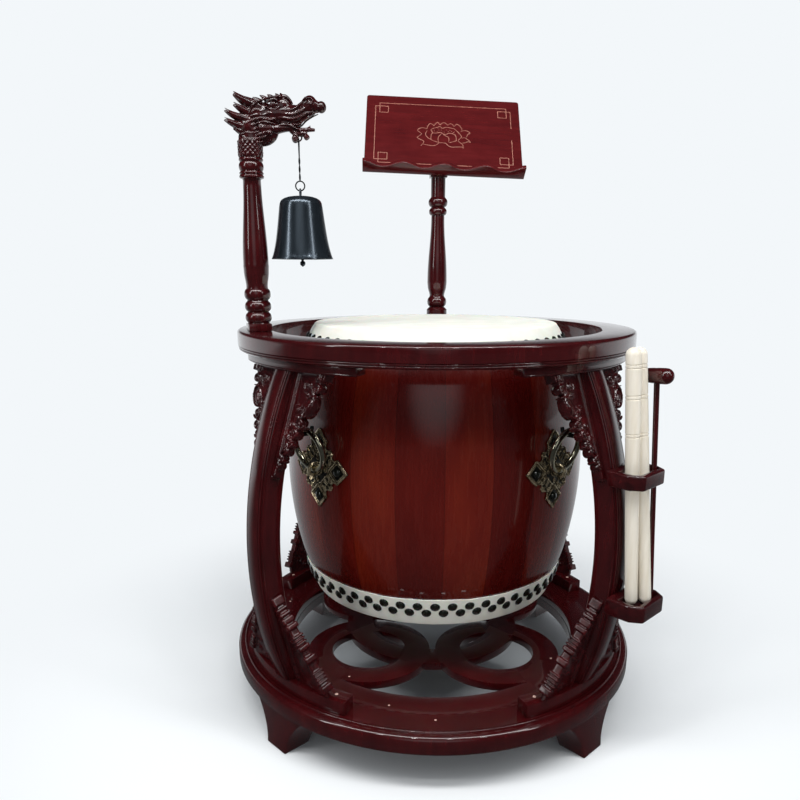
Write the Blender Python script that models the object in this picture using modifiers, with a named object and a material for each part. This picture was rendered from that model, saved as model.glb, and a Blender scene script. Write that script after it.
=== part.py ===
"""Temple drum hung in a round hardwood stand, with a bell post, a lectern and a stick holder.

Metres, +Z up, feet on z = 0. The pieces of one post are modelled in a frame whose +X points
away from the drum's axis and whose +Y runs along the rings, and an empty turns them into place.
"""
import bpy
import bmesh
import math
from mathutils import Matrix, Vector

# Clearance between pieces that touch
GAP = 0.0003

# Edges sharper than this stay sharp where a piece is shaded smooth
SHARP_ANGLE = math.radians(40)

# Turns that stand a ring up, with its plane along X or along Y
UPRIGHT_ALONG_X = Matrix.Rotation(math.pi / 2, 4, "X")
UPRIGHT_ALONG_Y = Matrix.Rotation(math.pi / 2, 4, "Y")

# Sides of a round wire; a flat side faces the middle of a ring
WIRE_SIDES = 6

# Rings of the stand
RING_OUTER_R = 0.390
RING_INNER_R = 0.327
RING_HEIGHT = 0.037
RING_LIP = 0.004
RING_ROUND = 0.005
STAND_HEIGHT = 0.767
BASE_OUTER_R = 0.423
BASE_INNER_R = 0.305
BASE_HEIGHT = 0.037
BASE_ROUND = 0.006
BEAD_HEIGHT = 0.0015
FOOT_HEIGHT = 0.080
RING_STEPS = 48

# Tracery board let into the base ring
PANEL_OUTER_R = 0.359
PANEL_THICKNESS = 0.016
TRACERY_OFFSET = 0.186
TRACERY_OUTER_R = 0.126
TRACERY_INNER_R = 0.075
CENTRE_OUTER_R = 0.187
CENTRE_INNER_R = 0.131

# Aprons and shoes: arcs over and under each post
APRON_OUTER_R = 0.3755
APRON_INNER_R = 0.339
APRON_HEIGHT = 0.016
APRON_HALF_ANGLE = math.radians(24.5)
SHOE_OUTER_R = 0.4005
SHOE_INNER_R = 0.3685
SHOE_HEIGHT = 0.026
SHOE_HALF_ANGLE = math.radians(21.5)
ARC_STEPS = 8

# Bowed posts, measured at their outer face
POST_TOP_R = 0.376
POST_FOOT_R = 0.404
POST_BOW = 0.060
POST_WIDTH = 0.045
POST_DEPTH = 0.044
POST_MOULD = 0.0025
POST_FACE = 0.033
POST_STEPS = 14
POST_SPARE = 1.15

# Feet
FOOT_TOP_WIDTH = 0.142
FOOT_TOP_DEPTH = 0.088
FOOT_END_WIDTH = 0.050
FOOT_END_DEPTH = 0.036
FOOT_INSET = 0.010

# Carved brackets
BRACKET_THICKNESS = 0.022
UPPER_ARM = 0.084
UPPER_DROP = 0.190
LOWER_ARM = 0.080
LOWER_RISE = 0.184
BRACKET_EDGE = 0.016
BRACKET_LOBES = 4
LOBE_HEIGHT = 0.007
BRACKET_HOLLOW = 0.006

# Drum
DRUM_HEIGHT = 0.542
DRUM_ABOVE_RING = 0.010
DRUM_BELLY_R = 0.302
DRUM_HEAD_R = 0.2525
SHELL_WALL = 0.024
SKIN_THICKNESS = 0.003
SKIN_TURN_DOWN = 0.058
DRUM_STEPS = 36

# Plates, ring handles and hooks
PLATE_HALF_DIAGONAL = 0.074
PLATE_THICKNESS = 0.003
PLATE_ABOVE_MIDDLE = 0.022
LUG_R = 0.0105
LUG_WIRE_R = 0.0035
HANDLE_R = 0.039
HANDLE_WIRE_R = 0.0055
HANDLE_LEAN = math.radians(13.7)
HOOK_WIRE_R = 0.004
HOOK_NOSE = 0.018
HOOK_RISE = 0.012
HOOK_FLANGE_R = 0.012
HOOK_FLANGE_THICKNESS = 0.003

# Turned posts in the upper ring
TENON_R = 0.011
TENON_LENGTH = 0.024
TENON_CLEARANCE = 0.0008
BELL_POST_ANGLE = math.radians(-159.3)
BELL_POST_R = 0.352
BELL_FOOT_WIDTH = 0.042
BELL_FOOT_HEIGHT = 0.014
BELL_POST_BEAD_R = 0.0241
BELL_POST_GROOVE_R = 0.0203
BELL_POST_NARROW_R = 0.0157
BELL_POST_WIDE_R = 0.0228
BELL_POST_COLLAR_R = 0.0214
NECK_R = 0.0219
LECTERN_ANGLE = math.radians(87.8)
LECTERN_POST_R = 0.3585
LECTERN_TURN = math.radians(4.5)
LECTERN_FLANGE_R = 0.0250
LECTERN_BEAD_R = 0.0238
LECTERN_NARROW_R = 0.0158
LECTERN_COLLAR_R = 0.0229
LECTERN_NECK_R = 0.0170
LECTERN_GROOVE_R = 0.0185
POST_TURN_STEPS = 16

# Dragon head, bell and clapper, with heights above the upper ring
NECK_TOP = 0.325
HEAD_THICKNESS = 0.030
BELL_REACH = 0.0853
JAW_EYE_HEIGHT = 0.3325
EYE_R = 0.0055
EYE_WIRE_R = 0.0015
WIRE_R = 0.0012
WIRE_HALF_WIDTH = 0.0042
WIRE_RING_HEIGHT = 0.2535
WIRE_RING_R = 0.0080
BELL_TOP_HEIGHT = 0.2367
BELL_MOUTH_HEIGHT = 0.1285
BELL_MOUTH_R = 0.0553
BELL_SHOULDER_R = 0.0372
BELL_CROWN_R = 0.0285
BELL_WALL = 0.003
CROWN_LOOP_R = 0.0062
CROWN_LOOP_WIRE_R = 0.0014
CLAPPER_EYE_R = 0.0058
CLAPPER_BALL_R = 0.0055
CLAPPER_ROD_R = 0.0018
CLAPPER_BELOW_MOUTH = 0.013
BELL_STEPS = 24

# Lectern
BOARD_WIDTH = 0.374
BOARD_SLANT = 0.232
BOARD_THICKNESS = 0.011
BOARD_TILT = math.radians(38.5)
BOARD_LEAN = math.radians(-3.0)
BOARD_HEIGHT = 0.338
BOARD_BEFORE_POST = 0.0327
BOARD_ASIDE = 0.009
LEDGE_WIDTH = 0.380
LEDGE_DEPTH = 0.016
LEDGE_THICKNESS = 0.010
LEDGE_WAVE = 0.0075
LEDGE_CRESTS = 4
BLOCK_WIDTH = 0.040
BLOCK_DEPTH = 0.036
NECK_HEIGHT = 0.3215

# Stick holder on the front right post, with heights above the floor
HOLDER_WIDTH = 0.094
POCKET_WIDTH = 0.074
POCKET_DEPTH = 0.037
HOLDER_SHIFT = 0.003
HOLDER_WALL = 0.010
HOLDER_CORNER_ACROSS = 0.014
HOLDER_CORNER_OUT = 0.020
POCKET_CORNER = 0.005
CUP_HEIGHT = 0.030
CUP_FLOOR = 0.018
CUP_BASE_Z = 0.309
CUP_POCKET_R = 0.4835
LOOP_HEIGHT = 0.026
LOOP_BASE_Z = 0.534
LOOP_POCKET_R = 0.4650

# Sticks
STICK_TOP_R = 0.0127
STICK_END_R = 0.0105
STICK_LENGTH = 0.433
FIRST_STICK_R = 0.4765
FIRST_STICK_OFFSET = -0.0100
FIRST_STICK_LEAN = math.radians(4.4)
FIRST_STICK_SIDE_LEAN = math.radians(-0.1)
SECOND_STICK_R = 0.4900
SECOND_STICK_OFFSET = 0.0115
SECOND_STICK_LEAN = math.radians(6.9)
SECOND_STICK_SIDE_LEAN = math.radians(0.6)
MALLET_HANDLE_R = 0.0048
MALLET_HEAD_R = 0.0132
MALLET_HEAD_SMALL_R = 0.0112
MALLET_HEAD_TURN = math.radians(-14)
MALLET_HEAD_LENGTH = 0.062
MALLET_HEAD_UP = 0.380
MALLET_SOCKET_DEPTH = 0.014
MALLET_CUP_OFFSET = 0.0300
MALLET_CUP_R = 0.4908
MALLET_LEAN = math.radians(4.1)
MALLET_SIDE_LEAN = math.radians(1.0)
STICK_STEPS = 12

# Heights that follow from the sizes above
BASE_TOP_Z = FOOT_HEIGHT + BASE_HEIGHT
SHOE_TOP_Z = BASE_TOP_Z + SHOE_HEIGHT
RING_BOTTOM_Z = STAND_HEIGHT - RING_HEIGHT
APRON_BOTTOM_Z = RING_BOTTOM_Z - APRON_HEIGHT
DRUM_TOP_Z = STAND_HEIGHT + DRUM_ABOVE_RING
DRUM_MIDDLE_Z = DRUM_TOP_Z - DRUM_HEIGHT / 2

POST_ANGLES = {
    "front_right": math.radians(-45),
    "rear_right": math.radians(45),
    "rear_left": math.radians(135),
    "front_left": math.radians(-135),
}

for old in list(bpy.data.objects):
    bpy.data.objects.remove(old, do_unlink=True)

parts = bpy.data.collections.new("temple_drum")
helpers = bpy.data.collections.new("helpers")
bpy.context.scene.collection.children.link(parts)
bpy.context.scene.collection.children.link(helpers)


def material(name, colour, roughness, metallic=0.0):
    """Principled material; the colour is linear red, green and blue."""
    made = bpy.data.materials.new(name)
    made.use_nodes = True
    shader = made.node_tree.nodes["Principled BSDF"]
    shader.inputs["Base Color"].default_value = (*colour, 1.0)
    shader.inputs["Roughness"].default_value = roughness
    shader.inputs["Metallic"].default_value = metallic
    return made


lacquer = material("dark_red_lacquer", (0.055, 0.006, 0.007), 0.2)
shell_lacquer = material("clear_red_lacquer", (0.12, 0.009, 0.006), 0.15)
hide = material("rawhide", (0.75, 0.72, 0.58), 0.55)
bronze = material("antique_bronze", (0.20, 0.15, 0.09), 0.35, 0.9)
gunmetal = material("dark_bell_metal", (0.05, 0.06, 0.07), 0.3, 0.85)
steel = material("dark_steel", (0.08, 0.08, 0.08), 0.4, 0.9)
pale_wood = material("pale_stick_wood", (0.80, 0.72, 0.55), 0.5)


def empty(name, location=(0, 0, 0), turn=0.0, parent=None):
    """Empty that carries pieces; it isn't a piece itself."""
    made = bpy.data.objects.new(name, None)
    made.location = location
    made.rotation_euler = (0, 0, turn)
    made.parent = parent
    helpers.objects.link(made)
    return made


def add_piece(name, mesh, finish, parent):
    """Object in the parts collection, carried by an empty."""
    piece = bpy.data.objects.new(name, mesh)
    parts.objects.link(piece)
    piece.parent = parent
    if finish.name not in mesh.materials:
        mesh.materials.append(finish)
    return piece


def add_cutter(name, mesh, parent, group=helpers):
    """Mesh that only cuts or joins other pieces."""
    cutter = bpy.data.objects.new(name, mesh)
    group.objects.link(cutter)
    cutter.parent = parent
    cutter.hide_render = True
    cutter.display_type = "WIRE"
    return cutter


def cutter_group(name):
    """Collection of cutters that one Boolean uses together."""
    group = bpy.data.collections.new(name)
    group.hide_render = True
    helpers.children.link(group)
    return group


def combine(piece, other, operation):
    """Boolean with one object or with a collection."""
    boolean = piece.modifiers.new(operation.capitalize(), "BOOLEAN")
    boolean.operation = operation
    boolean.solver = "EXACT"
    if isinstance(other, bpy.types.Collection):
        boolean.operand_type = "COLLECTION"
        boolean.collection = other
    else:
        boolean.object = other
    return boolean


def finish_mesh(name, bm, smooth=False):
    """Mesh of a bmesh, with its faces turned out."""
    bmesh.ops.recalc_face_normals(bm, faces=bm.faces)
    mesh = bpy.data.meshes.new(name)
    bm.to_mesh(mesh)
    bm.free()
    if smooth:
        mesh.shade_smooth()
        mesh.set_sharp_from_angle(angle=SHARP_ANGLE)
    return mesh


def profile_mesh(name, profile, closed):
    """Edges of a turned profile in the XZ plane, which runs down the outer side."""
    edges = [(i, i + 1) for i in range(len(profile) - 1)]
    if closed:
        edges.append((len(profile) - 1, 0))
    mesh = bpy.data.meshes.new(name)
    mesh.from_pydata([(r, 0.0, z) for r, z in profile], edges, [])
    return mesh


def turn(obj, steps):
    """Screw modifier that turns the profile of obj about its Z axis."""
    screw = obj.modifiers.new("Turn", "SCREW")
    screw.steps = steps
    screw.render_steps = steps
    screw.use_merge_vertices = True
    screw.merge_threshold = 0.0001
    screw.use_smooth_shade = True
    return obj


def turned(name, profile, steps, finish, parent, closed=False):
    """Turned piece of the drum."""
    return turn(add_piece(name, profile_mesh(name, profile, closed), finish, parent), steps)


def arc(centre_r, centre_z, radius, start, end, count):
    """Points of a profile's round, from angle start to end in degrees, 0 pointing outwards."""
    angles = [math.radians(start + (end - start) * i / count) for i in range(count + 1)]
    return [(centre_r + radius * math.cos(a), centre_z + radius * math.sin(a)) for a in angles]


def ring_profile(inner, outer, low, high):
    """Rectangle of a flat ring."""
    return [(inner, high), (outer, high), (outer, low), (inner, low)]


def prism(name, outline, frame, thickness):
    """Outline in the frame's XY plane, drawn out along the frame's Z axis by the thickness."""
    bm = bmesh.new()
    face = bm.faces.new([bm.verts.new((x, y, 0.0)) for x, y in outline])
    drawn = bmesh.ops.extrude_face_region(bm, geom=[face])
    moved = [item for item in drawn["geom"] if isinstance(item, bmesh.types.BMVert)]
    bmesh.ops.translate(bm, verts=moved, vec=(0, 0, thickness))
    bmesh.ops.transform(bm, matrix=frame, verts=bm.verts)
    return bm


def cut_away(bm, point, normal):
    """Takes away what lies on the normal's side of a plane and closes the cut."""
    everything = bm.verts[:] + bm.edges[:] + bm.faces[:]
    cut = bmesh.ops.bisect_plane(
        bm, geom=everything, plane_co=point, plane_no=normal, clear_outer=True
    )
    edges = [item for item in cut["geom_cut"] if isinstance(item, bmesh.types.BMEdge)]
    bmesh.ops.contextual_create(bm, geom=edges)


def box(centre, size):
    """Box as a bmesh."""
    bm = bmesh.new()
    matrix = Matrix.Translation(centre) @ Matrix.Diagonal((*size, 1))
    bmesh.ops.create_cube(bm, size=1.0, matrix=matrix)
    return bm


def torus(name, major, minor, frame, major_steps=20):
    """Torus about the Z axis of its frame."""
    bm = bmesh.new()
    circle = bmesh.ops.create_circle(
        bm, segments=WIRE_SIDES, radius=minor,
        matrix=Matrix.Translation((major, 0, 0)) @ UPRIGHT_ALONG_X,
    )
    edges = list({edge for vert in circle["verts"] for edge in vert.link_edges})
    bmesh.ops.spin(
        bm, geom=circle["verts"] + edges, cent=(0, 0, 0), axis=(0, 0, 1),
        angle=math.tau, steps=major_steps, use_merge=True,
    )
    bmesh.ops.remove_doubles(bm, verts=bm.verts, dist=0.00001)
    bmesh.ops.transform(bm, matrix=frame, verts=bm.verts)
    return finish_mesh(name, bm, smooth=True)


def arc_bar(name, inner, outer, low, high, half_angle):
    """Bar with a rectangular section that follows a ring about the drum's axis."""
    bm = bmesh.new()
    corners = [(inner, low), (outer, low), (outer, high), (inner, high)]
    start = Matrix.Rotation(-half_angle, 3, "Z")
    face = bm.faces.new([bm.verts.new(start @ Vector((r, 0, z))) for r, z in corners])
    bmesh.ops.spin(
        bm, geom=[face], cent=(0, 0, 0), axis=(0, 0, 1), angle=2 * half_angle, steps=ARC_STEPS
    )
    return finish_mesh(name, bm)


# Where everything is carried
axis = empty("drum_axis")
post_frames = {
    place: empty("frame_" + place, turn=angle, parent=axis) for place, angle in POST_ANGLES.items()
}


# Bow of the posts, as a circle in the radial plane of each post
post_top = Vector((POST_TOP_R, 0, APRON_BOTTOM_Z))
post_foot = Vector((POST_FOOT_R, 0, SHOE_TOP_Z))
chord = post_top - post_foot
bow_radius = ((chord.length / 2) ** 2 + POST_BOW ** 2) / (2 * POST_BOW)
inward = Vector((-chord.z, 0, chord.x)).normalized()
bow_centre = (post_top + post_foot) / 2 + inward * (bow_radius - POST_BOW)


def post_outer_r(z):
    """Distance of a post's outer face from the drum's axis."""
    return bow_centre.x + math.sqrt(bow_radius ** 2 - (z - bow_centre.z) ** 2)


def post_inner_r(z):
    """Distance of a post's inner face from the drum's axis."""
    return bow_centre.x + math.sqrt((bow_radius - POST_DEPTH) ** 2 - (z - bow_centre.z) ** 2)


def bowed_bar(section):
    """Section of depths below the outer face and widths, swept along the posts' bow."""
    half_sweep = math.asin(chord.length / 2 / bow_radius) * POST_SPARE
    tilt = math.atan2(-inward.z, -inward.x)
    bm = bmesh.new()
    points = []
    for depth, width in section:
        reach = bow_radius - depth
        low = tilt - half_sweep
        points.append(bow_centre + Vector((reach * math.cos(low), width, reach * math.sin(low))))
    face = bm.faces.new([bm.verts.new(point) for point in points])
    bmesh.ops.spin(
        bm, geom=[face], cent=bow_centre, axis=(0, -1, 0), angle=2 * half_sweep, steps=POST_STEPS
    )
    bmesh.ops.recalc_face_normals(bm, faces=bm.faces)
    return bm


# Base ring with a rebate for the tracery board
def base_ring():
    ledge_z = BASE_TOP_Z - PANEL_THICKNESS - GAP
    round_z = BASE_TOP_Z - BASE_ROUND - BEAD_HEIGHT
    bead_r = BASE_OUTER_R - 2 * BASE_ROUND
    profile = [
        (PANEL_OUTER_R + GAP, BASE_TOP_Z),
        (bead_r - BASE_ROUND, BASE_TOP_Z),
        (bead_r - BASE_ROUND + BEAD_HEIGHT, BASE_TOP_Z - BEAD_HEIGHT),
        (bead_r, BASE_TOP_Z - BEAD_HEIGHT / 2),
        (bead_r + BASE_ROUND / 2, BASE_TOP_Z - 2 * BEAD_HEIGHT),
    ]
    profile += arc(BASE_OUTER_R - BASE_ROUND, round_z, BASE_ROUND, 90, 0, 3)
    profile += [
        (BASE_OUTER_R, FOOT_HEIGHT),
        (BASE_INNER_R, FOOT_HEIGHT),
        (BASE_INNER_R, ledge_z),
        (PANEL_OUTER_R + GAP, ledge_z),
    ]
    turned("base_ring", profile, RING_STEPS, lacquer, axis, closed=True)


# Tracery: the outer ring of the board joined to four rings and a centre ring
def base_tracery():
    low, high = BASE_TOP_Z - PANEL_THICKNESS, BASE_TOP_Z
    board = turned(
        "base_tracery", ring_profile(BASE_INNER_R, PANEL_OUTER_R, low, high), RING_STEPS,
        lacquer, axis, closed=True,
    )
    rings = cutter_group("tracery_rings")
    centre_section = ring_profile(CENTRE_INNER_R, CENTRE_OUTER_R, low, high)
    centre = profile_mesh("centre_ring", centre_section, True)
    turn(add_cutter("centre_ring", centre, axis, rings), RING_STEPS)
    small_section = ring_profile(TRACERY_INNER_R, TRACERY_OUTER_R, low, high)
    small = profile_mesh("tracery_ring", small_section, True)
    for place, frame in post_frames.items():
        ring = turn(add_cutter("tracery_" + place, small, frame, rings), RING_STEPS // 2)
        ring.location.x = TRACERY_OFFSET
    combine(board, rings, "UNION")


# Feet, wide under the ring and narrow on the floor
def foot_mesh():
    bm = bmesh.new()
    bmesh.ops.create_cube(bm, size=1.0)
    uprights = [edge for edge in bm.edges if abs(edge.verts[0].co.z - edge.verts[1].co.z) > 0.5]
    bmesh.ops.subdivide_edges(bm, edges=uprights, cuts=2, use_grid_fill=True)
    outer_r = BASE_OUTER_R - FOOT_INSET
    for vert in bm.verts:
        down = (0.5 - vert.co.z) ** 0.85
        width = FOOT_TOP_WIDTH + (FOOT_END_WIDTH - FOOT_TOP_WIDTH) * down
        depth = FOOT_TOP_DEPTH + (FOOT_END_DEPTH - FOOT_TOP_DEPTH) * down
        outside = outer_r + FOOT_INSET * down
        x = outside if vert.co.x > 0 else outside - depth
        z = (FOOT_HEIGHT - GAP) * (vert.co.z + 0.5)
        vert.co = Vector((x, width * vert.co.y, z))
    return finish_mesh("foot", bm)


# Posts: a board with a small step on each outer corner
def post_mesh():
    half, face = POST_WIDTH / 2, POST_FACE / 2
    step = half - POST_MOULD
    side = [(0.0, face), (2 * POST_MOULD, step), (4 * POST_MOULD, step), (4 * POST_MOULD, half)]
    side.append((POST_DEPTH, half))
    bm = bowed_bar(side + [(depth, -width) for depth, width in reversed(side)])
    cut_away(bm, (0, 0, SHOE_TOP_Z + GAP), (0, 0, -1))
    cut_away(bm, (0, 0, APRON_BOTTOM_Z - GAP), (0, 0, 1))
    return finish_mesh("post", bm)


def lobed_edge(arm, drop):
    """Bracket outline: the corner at the post, the arm, and a lobed slope between them."""
    points = [(0.0, -BRACKET_EDGE), (arm, -BRACKET_EDGE), (arm, 0.0)]
    steps = BRACKET_LOBES * 4
    slope = Vector((-arm, drop - BRACKET_EDGE))
    out = Vector((slope.y, -slope.x)).normalized()
    for i in range(steps + 1):
        part = i / steps
        lobe = LOBE_HEIGHT * abs(math.sin(math.pi * BRACKET_LOBES * part))
        hollow = BRACKET_HOLLOW * math.sin(math.pi * part)
        point = Vector((arm, BRACKET_EDGE)) + slope * part + out * (lobe - hollow)
        points.append((max(point.x, 0.004), point.y))
    points.append((0.0, drop))
    return points


def bracket_mesh(name, side, root_z, tip_z, arm):
    """Carved board at a post's side: it leans as the post does and ends flat at root_z."""
    drop = abs(root_z - tip_z)
    mid_r = [(post_outer_r(z) + post_inner_r(z)) / 2 for z in (root_z, tip_z)]
    away = Vector((mid_r[1] - mid_r[0], 0, tip_z - root_z)).normalized()
    along = Vector((0, side, 0))
    face = along.cross(away)
    root = Vector((mid_r[0], side * (POST_WIDTH / 2 + GAP), root_z))
    root -= face * BRACKET_THICKNESS / 2
    frame = Matrix.Translation(root) @ Matrix((along, away, face)).transposed().to_4x4()
    bm = prism(name, lobed_edge(arm, drop), frame, BRACKET_THICKNESS)
    bmesh.ops.recalc_face_normals(bm, faces=bm.faces)
    up = 1 if root_z > tip_z else -1
    cut_away(bm, (0, 0, root_z - up * GAP), (0, 0, up))
    return finish_mesh(name, bm)


# Everything that repeats at each post
def post_pieces():
    shoe = arc_bar(
        "shoe", SHOE_INNER_R, SHOE_OUTER_R, BASE_TOP_Z + GAP, SHOE_TOP_Z, SHOE_HALF_ANGLE
    )
    foot = foot_mesh()
    post = post_mesh()
    brackets = []
    for word, side in (("_a", -1), ("_b", 1)):
        tip_z = APRON_BOTTOM_Z - UPPER_DROP
        upper = bracket_mesh("upper_bracket" + word, side, APRON_BOTTOM_Z, tip_z, UPPER_ARM)
        tip_z = SHOE_TOP_Z + LOWER_RISE
        lower = bracket_mesh("lower_bracket" + word, side, SHOE_TOP_Z, tip_z, LOWER_ARM)
        brackets += [("upper_bracket_", word, upper), ("lower_bracket_", word, lower)]
    for place, frame in post_frames.items():
        add_piece("foot_" + place, foot, lacquer, frame)
        add_piece("shoe_" + place, shoe, lacquer, frame)
        add_piece("post_" + place, post, lacquer, frame)
        for kind, word, bracket in brackets:
            add_piece(kind + place + word, bracket, lacquer, frame)


def polar(radius, angle, z):
    """Point at a distance and an angle from the drum's axis."""
    return Vector((radius * math.cos(angle), radius * math.sin(angle), z))


bell_post_place = polar(BELL_POST_R, BELL_POST_ANGLE, STAND_HEIGHT)
lectern_place = polar(LECTERN_POST_R, LECTERN_ANGLE, STAND_HEIGHT)


# Upper ring with its aprons and the sockets of the two turned posts
def upper_ring():
    low_r = RING_OUTER_R - RING_LIP
    profile = [(RING_INNER_R, STAND_HEIGHT)]
    profile += arc(RING_OUTER_R - RING_ROUND, STAND_HEIGHT - RING_ROUND, RING_ROUND, 90, 0, 3)
    profile += [
        (RING_OUTER_R, RING_BOTTOM_Z + RING_LIP),
        (low_r, RING_BOTTOM_Z + RING_LIP),
        (low_r, RING_BOTTOM_Z),
        (RING_INNER_R, RING_BOTTOM_Z),
    ]
    ring = turned("upper_ring", profile, RING_STEPS, lacquer, axis, closed=True)
    aprons = cutter_group("aprons")
    apron_top_z = RING_BOTTOM_Z + RING_HEIGHT / 4
    apron = arc_bar(
        "apron", APRON_INNER_R, APRON_OUTER_R, APRON_BOTTOM_Z, apron_top_z, APRON_HALF_ANGLE
    )
    for place, frame in post_frames.items():
        add_cutter("apron_" + place, apron, frame, aprons)
    combine(ring, aprons, "UNION")
    sockets = cutter_group("sockets")
    for name, place in (("bell_socket", bell_post_place), ("lectern_socket", lectern_place)):
        bm = bmesh.new()
        depth = TENON_LENGTH + 2 * GAP
        bmesh.ops.create_cone(
            bm, cap_ends=True, segments=POST_TURN_STEPS, radius1=TENON_R + TENON_CLEARANCE,
            radius2=TENON_R + TENON_CLEARANCE, depth=2 * depth,
        )
        socket = add_cutter(name, finish_mesh(name, bm), axis, sockets)
        socket.location = place
    combine(ring, sockets, "DIFFERENCE")


# Drum: a barrel whose outline is a parabola
belly_drop = (DRUM_BELLY_R - DRUM_HEAD_R) / (DRUM_HEIGHT / 2) ** 2


def drum_r(z):
    """Outer radius of the drum, over the hide at its ends."""
    return DRUM_BELLY_R - belly_drop * (z - DRUM_MIDDLE_Z) ** 2


def drum_shell():
    half = DRUM_HEIGHT / 2 - SKIN_THICKNESS - GAP
    tucked = half - SKIN_TURN_DOWN
    inset = SKIN_THICKNESS + GAP
    heights = [half, tucked]
    heights += [tucked * (1 - i / 4) for i in range(1, 8)]
    heights += [-tucked, -half]
    outer = []
    for i, h in enumerate(heights):
        z = DRUM_MIDDLE_Z + h
        if i in (0, len(heights) - 1):
            outer.append((drum_r(z) - inset, z))
        elif i == 1:
            outer += [(drum_r(z) - inset, z), (drum_r(z), z - GAP)]
        elif i == len(heights) - 2:
            outer += [(drum_r(z), z + GAP), (drum_r(z) - inset, z)]
        else:
            outer.append((drum_r(z), z))
    inner_heights = [half * (i / 3) for i in (-3, -2, -1, 0, 1, 2, 3)]
    inner = [(drum_r(DRUM_MIDDLE_Z + h) - SHELL_WALL, DRUM_MIDDLE_Z + h) for h in inner_heights]
    turned("drum_shell", outer + inner, DRUM_STEPS, shell_lacquer, drum_frame, closed=True)


def head_profile(up):
    """Hide drawn over one end of the shell; up is 1 for the top head and -1 for the bottom one."""
    end = DRUM_MIDDLE_Z + up * DRUM_HEIGHT / 2
    under = end - up * SKIN_THICKNESS
    hem = under - up * (SKIN_TURN_DOWN - GAP)
    profile = [
        (0.0, end),
        (drum_r(end) - 2 * SKIN_THICKNESS, end),
        (drum_r(end), end - up * SKIN_THICKNESS),
        (drum_r((end + hem) / 2), (end + hem) / 2),
        (drum_r(hem), hem),
        (drum_r(hem) - SKIN_THICKNESS, hem),
        (drum_r((under + hem) / 2) - SKIN_THICKNESS, (under + hem) / 2),
        (drum_r(under) - SKIN_THICKNESS, under),
        (0.0, under),
    ]
    return profile if up > 0 else profile[::-1]


def drum_heads():
    turned("top_head", head_profile(1), DRUM_STEPS, hide, drum_frame)
    turned("bottom_head", head_profile(-1), DRUM_STEPS, hide, drum_frame)


# Plates, rings and hooks: the top of each lug rests on its ring, and the ring rests on its hook
plate_z = DRUM_MIDDLE_Z + PLATE_ABOVE_MIDDLE
plate_face_r = drum_r(plate_z) + GAP + PLATE_THICKNESS
lug = Vector((plate_face_r + LUG_R - LUG_WIRE_R / 2, 0, plate_z))
handle_pivot = lug + Vector((0, 0, LUG_R - LUG_WIRE_R - HANDLE_WIRE_R - GAP))
handle_up = Vector((math.sin(HANDLE_LEAN), 0, math.cos(HANDLE_LEAN)))
handle_seat = handle_pivot + handle_up * 2 * HANDLE_R
wire_flat = math.cos(math.pi / WIRE_SIDES)
hook_z = handle_seat.z - HANDLE_WIRE_R * wire_flat / handle_up.z - HOOK_WIRE_R - GAP


def plate_mesh():
    """Diamond bent to the barrel, with a standing lug whose hole runs along the rings."""
    bm = bmesh.new()
    bmesh.ops.create_grid(
        bm, x_segments=6, y_segments=6, size=PLATE_HALF_DIAGONAL / math.sqrt(2),
        matrix=Matrix.Rotation(math.pi / 4, 4, "Z"),
    )
    for vert in bm.verts:
        z = plate_z + vert.co.y
        radius = drum_r(z) + GAP
        turned_by = vert.co.x / radius
        vert.co = Vector((radius * math.cos(turned_by), radius * math.sin(turned_by), z))
    drawn = bmesh.ops.extrude_face_region(bm, geom=bm.faces[:])
    for vert in [item for item in drawn["geom"] if isinstance(item, bmesh.types.BMVert)]:
        outward = Vector((vert.co.x, vert.co.y, 0)).normalized()
        vert.co += outward * PLATE_THICKNESS
    return finish_mesh("plate", bm)


def wire_mesh(name, route, radius):
    """Round wire through the points of a route, with flat ends."""
    curve = bpy.data.curves.new(name, "CURVE")
    curve.dimensions = "3D"
    curve.bevel_depth = radius
    curve.bevel_resolution = 1
    curve.use_fill_caps = True
    spline = curve.splines.new("POLY")
    spline.points.add(len(route) - 1)
    for point, place in zip(spline.points, route):
        point.co = (*place, 1.0)
    guide = bpy.data.objects.new(name, curve)
    helpers.objects.link(guide)
    graph = bpy.context.evaluated_depsgraph_get()
    swept = bpy.data.meshes.new_from_object(guide.evaluated_get(graph))
    bpy.data.objects.remove(guide)
    bm = bmesh.new()
    bm.from_mesh(swept)
    bmesh.ops.remove_doubles(bm, verts=bm.verts, dist=0.00001)
    bpy.data.meshes.remove(swept)
    return finish_mesh(name, bm, smooth=True)


# The hook's flange lies on the post's bow, square to it
post_facet = math.cos(math.asin(chord.length / 2 / bow_radius) * POST_SPARE / POST_STEPS)
flange_out = Vector((post_inner_r(hook_z), 0, hook_z)) - bow_centre
flange_out.normalize()
flange_reach = (bow_radius - POST_DEPTH) * post_facet - GAP
flange_face = bow_centre + flange_out * flange_reach


def hook_mesh():
    """Bent rod that comes out of its flange and rises at the ring handle's seat."""
    seat_r = handle_seat.x
    route = [
        flange_face - flange_out * HOOK_FLANGE_THICKNESS / 2,
        (seat_r - HOOK_NOSE / 2, 0, hook_z),
        (seat_r - 0.9 * HOOK_NOSE, 0, hook_z + 0.25 * HOOK_RISE),
        (seat_r - HOOK_NOSE, 0, hook_z + HOOK_RISE),
    ]
    return wire_mesh("hook", route, HOOK_WIRE_R)


def flange_mesh():
    bm = bmesh.new()
    centre = flange_face - flange_out * HOOK_FLANGE_THICKNESS / 2
    bmesh.ops.create_cone(
        bm, cap_ends=True, segments=12, radius1=HOOK_FLANGE_R, radius2=HOOK_FLANGE_R,
        depth=HOOK_FLANGE_THICKNESS,
        matrix=Matrix.Translation(centre) @ flange_out.to_track_quat("Z", "Y").to_matrix().to_4x4(),
    )
    return finish_mesh("hook_flange", bm)


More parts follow.
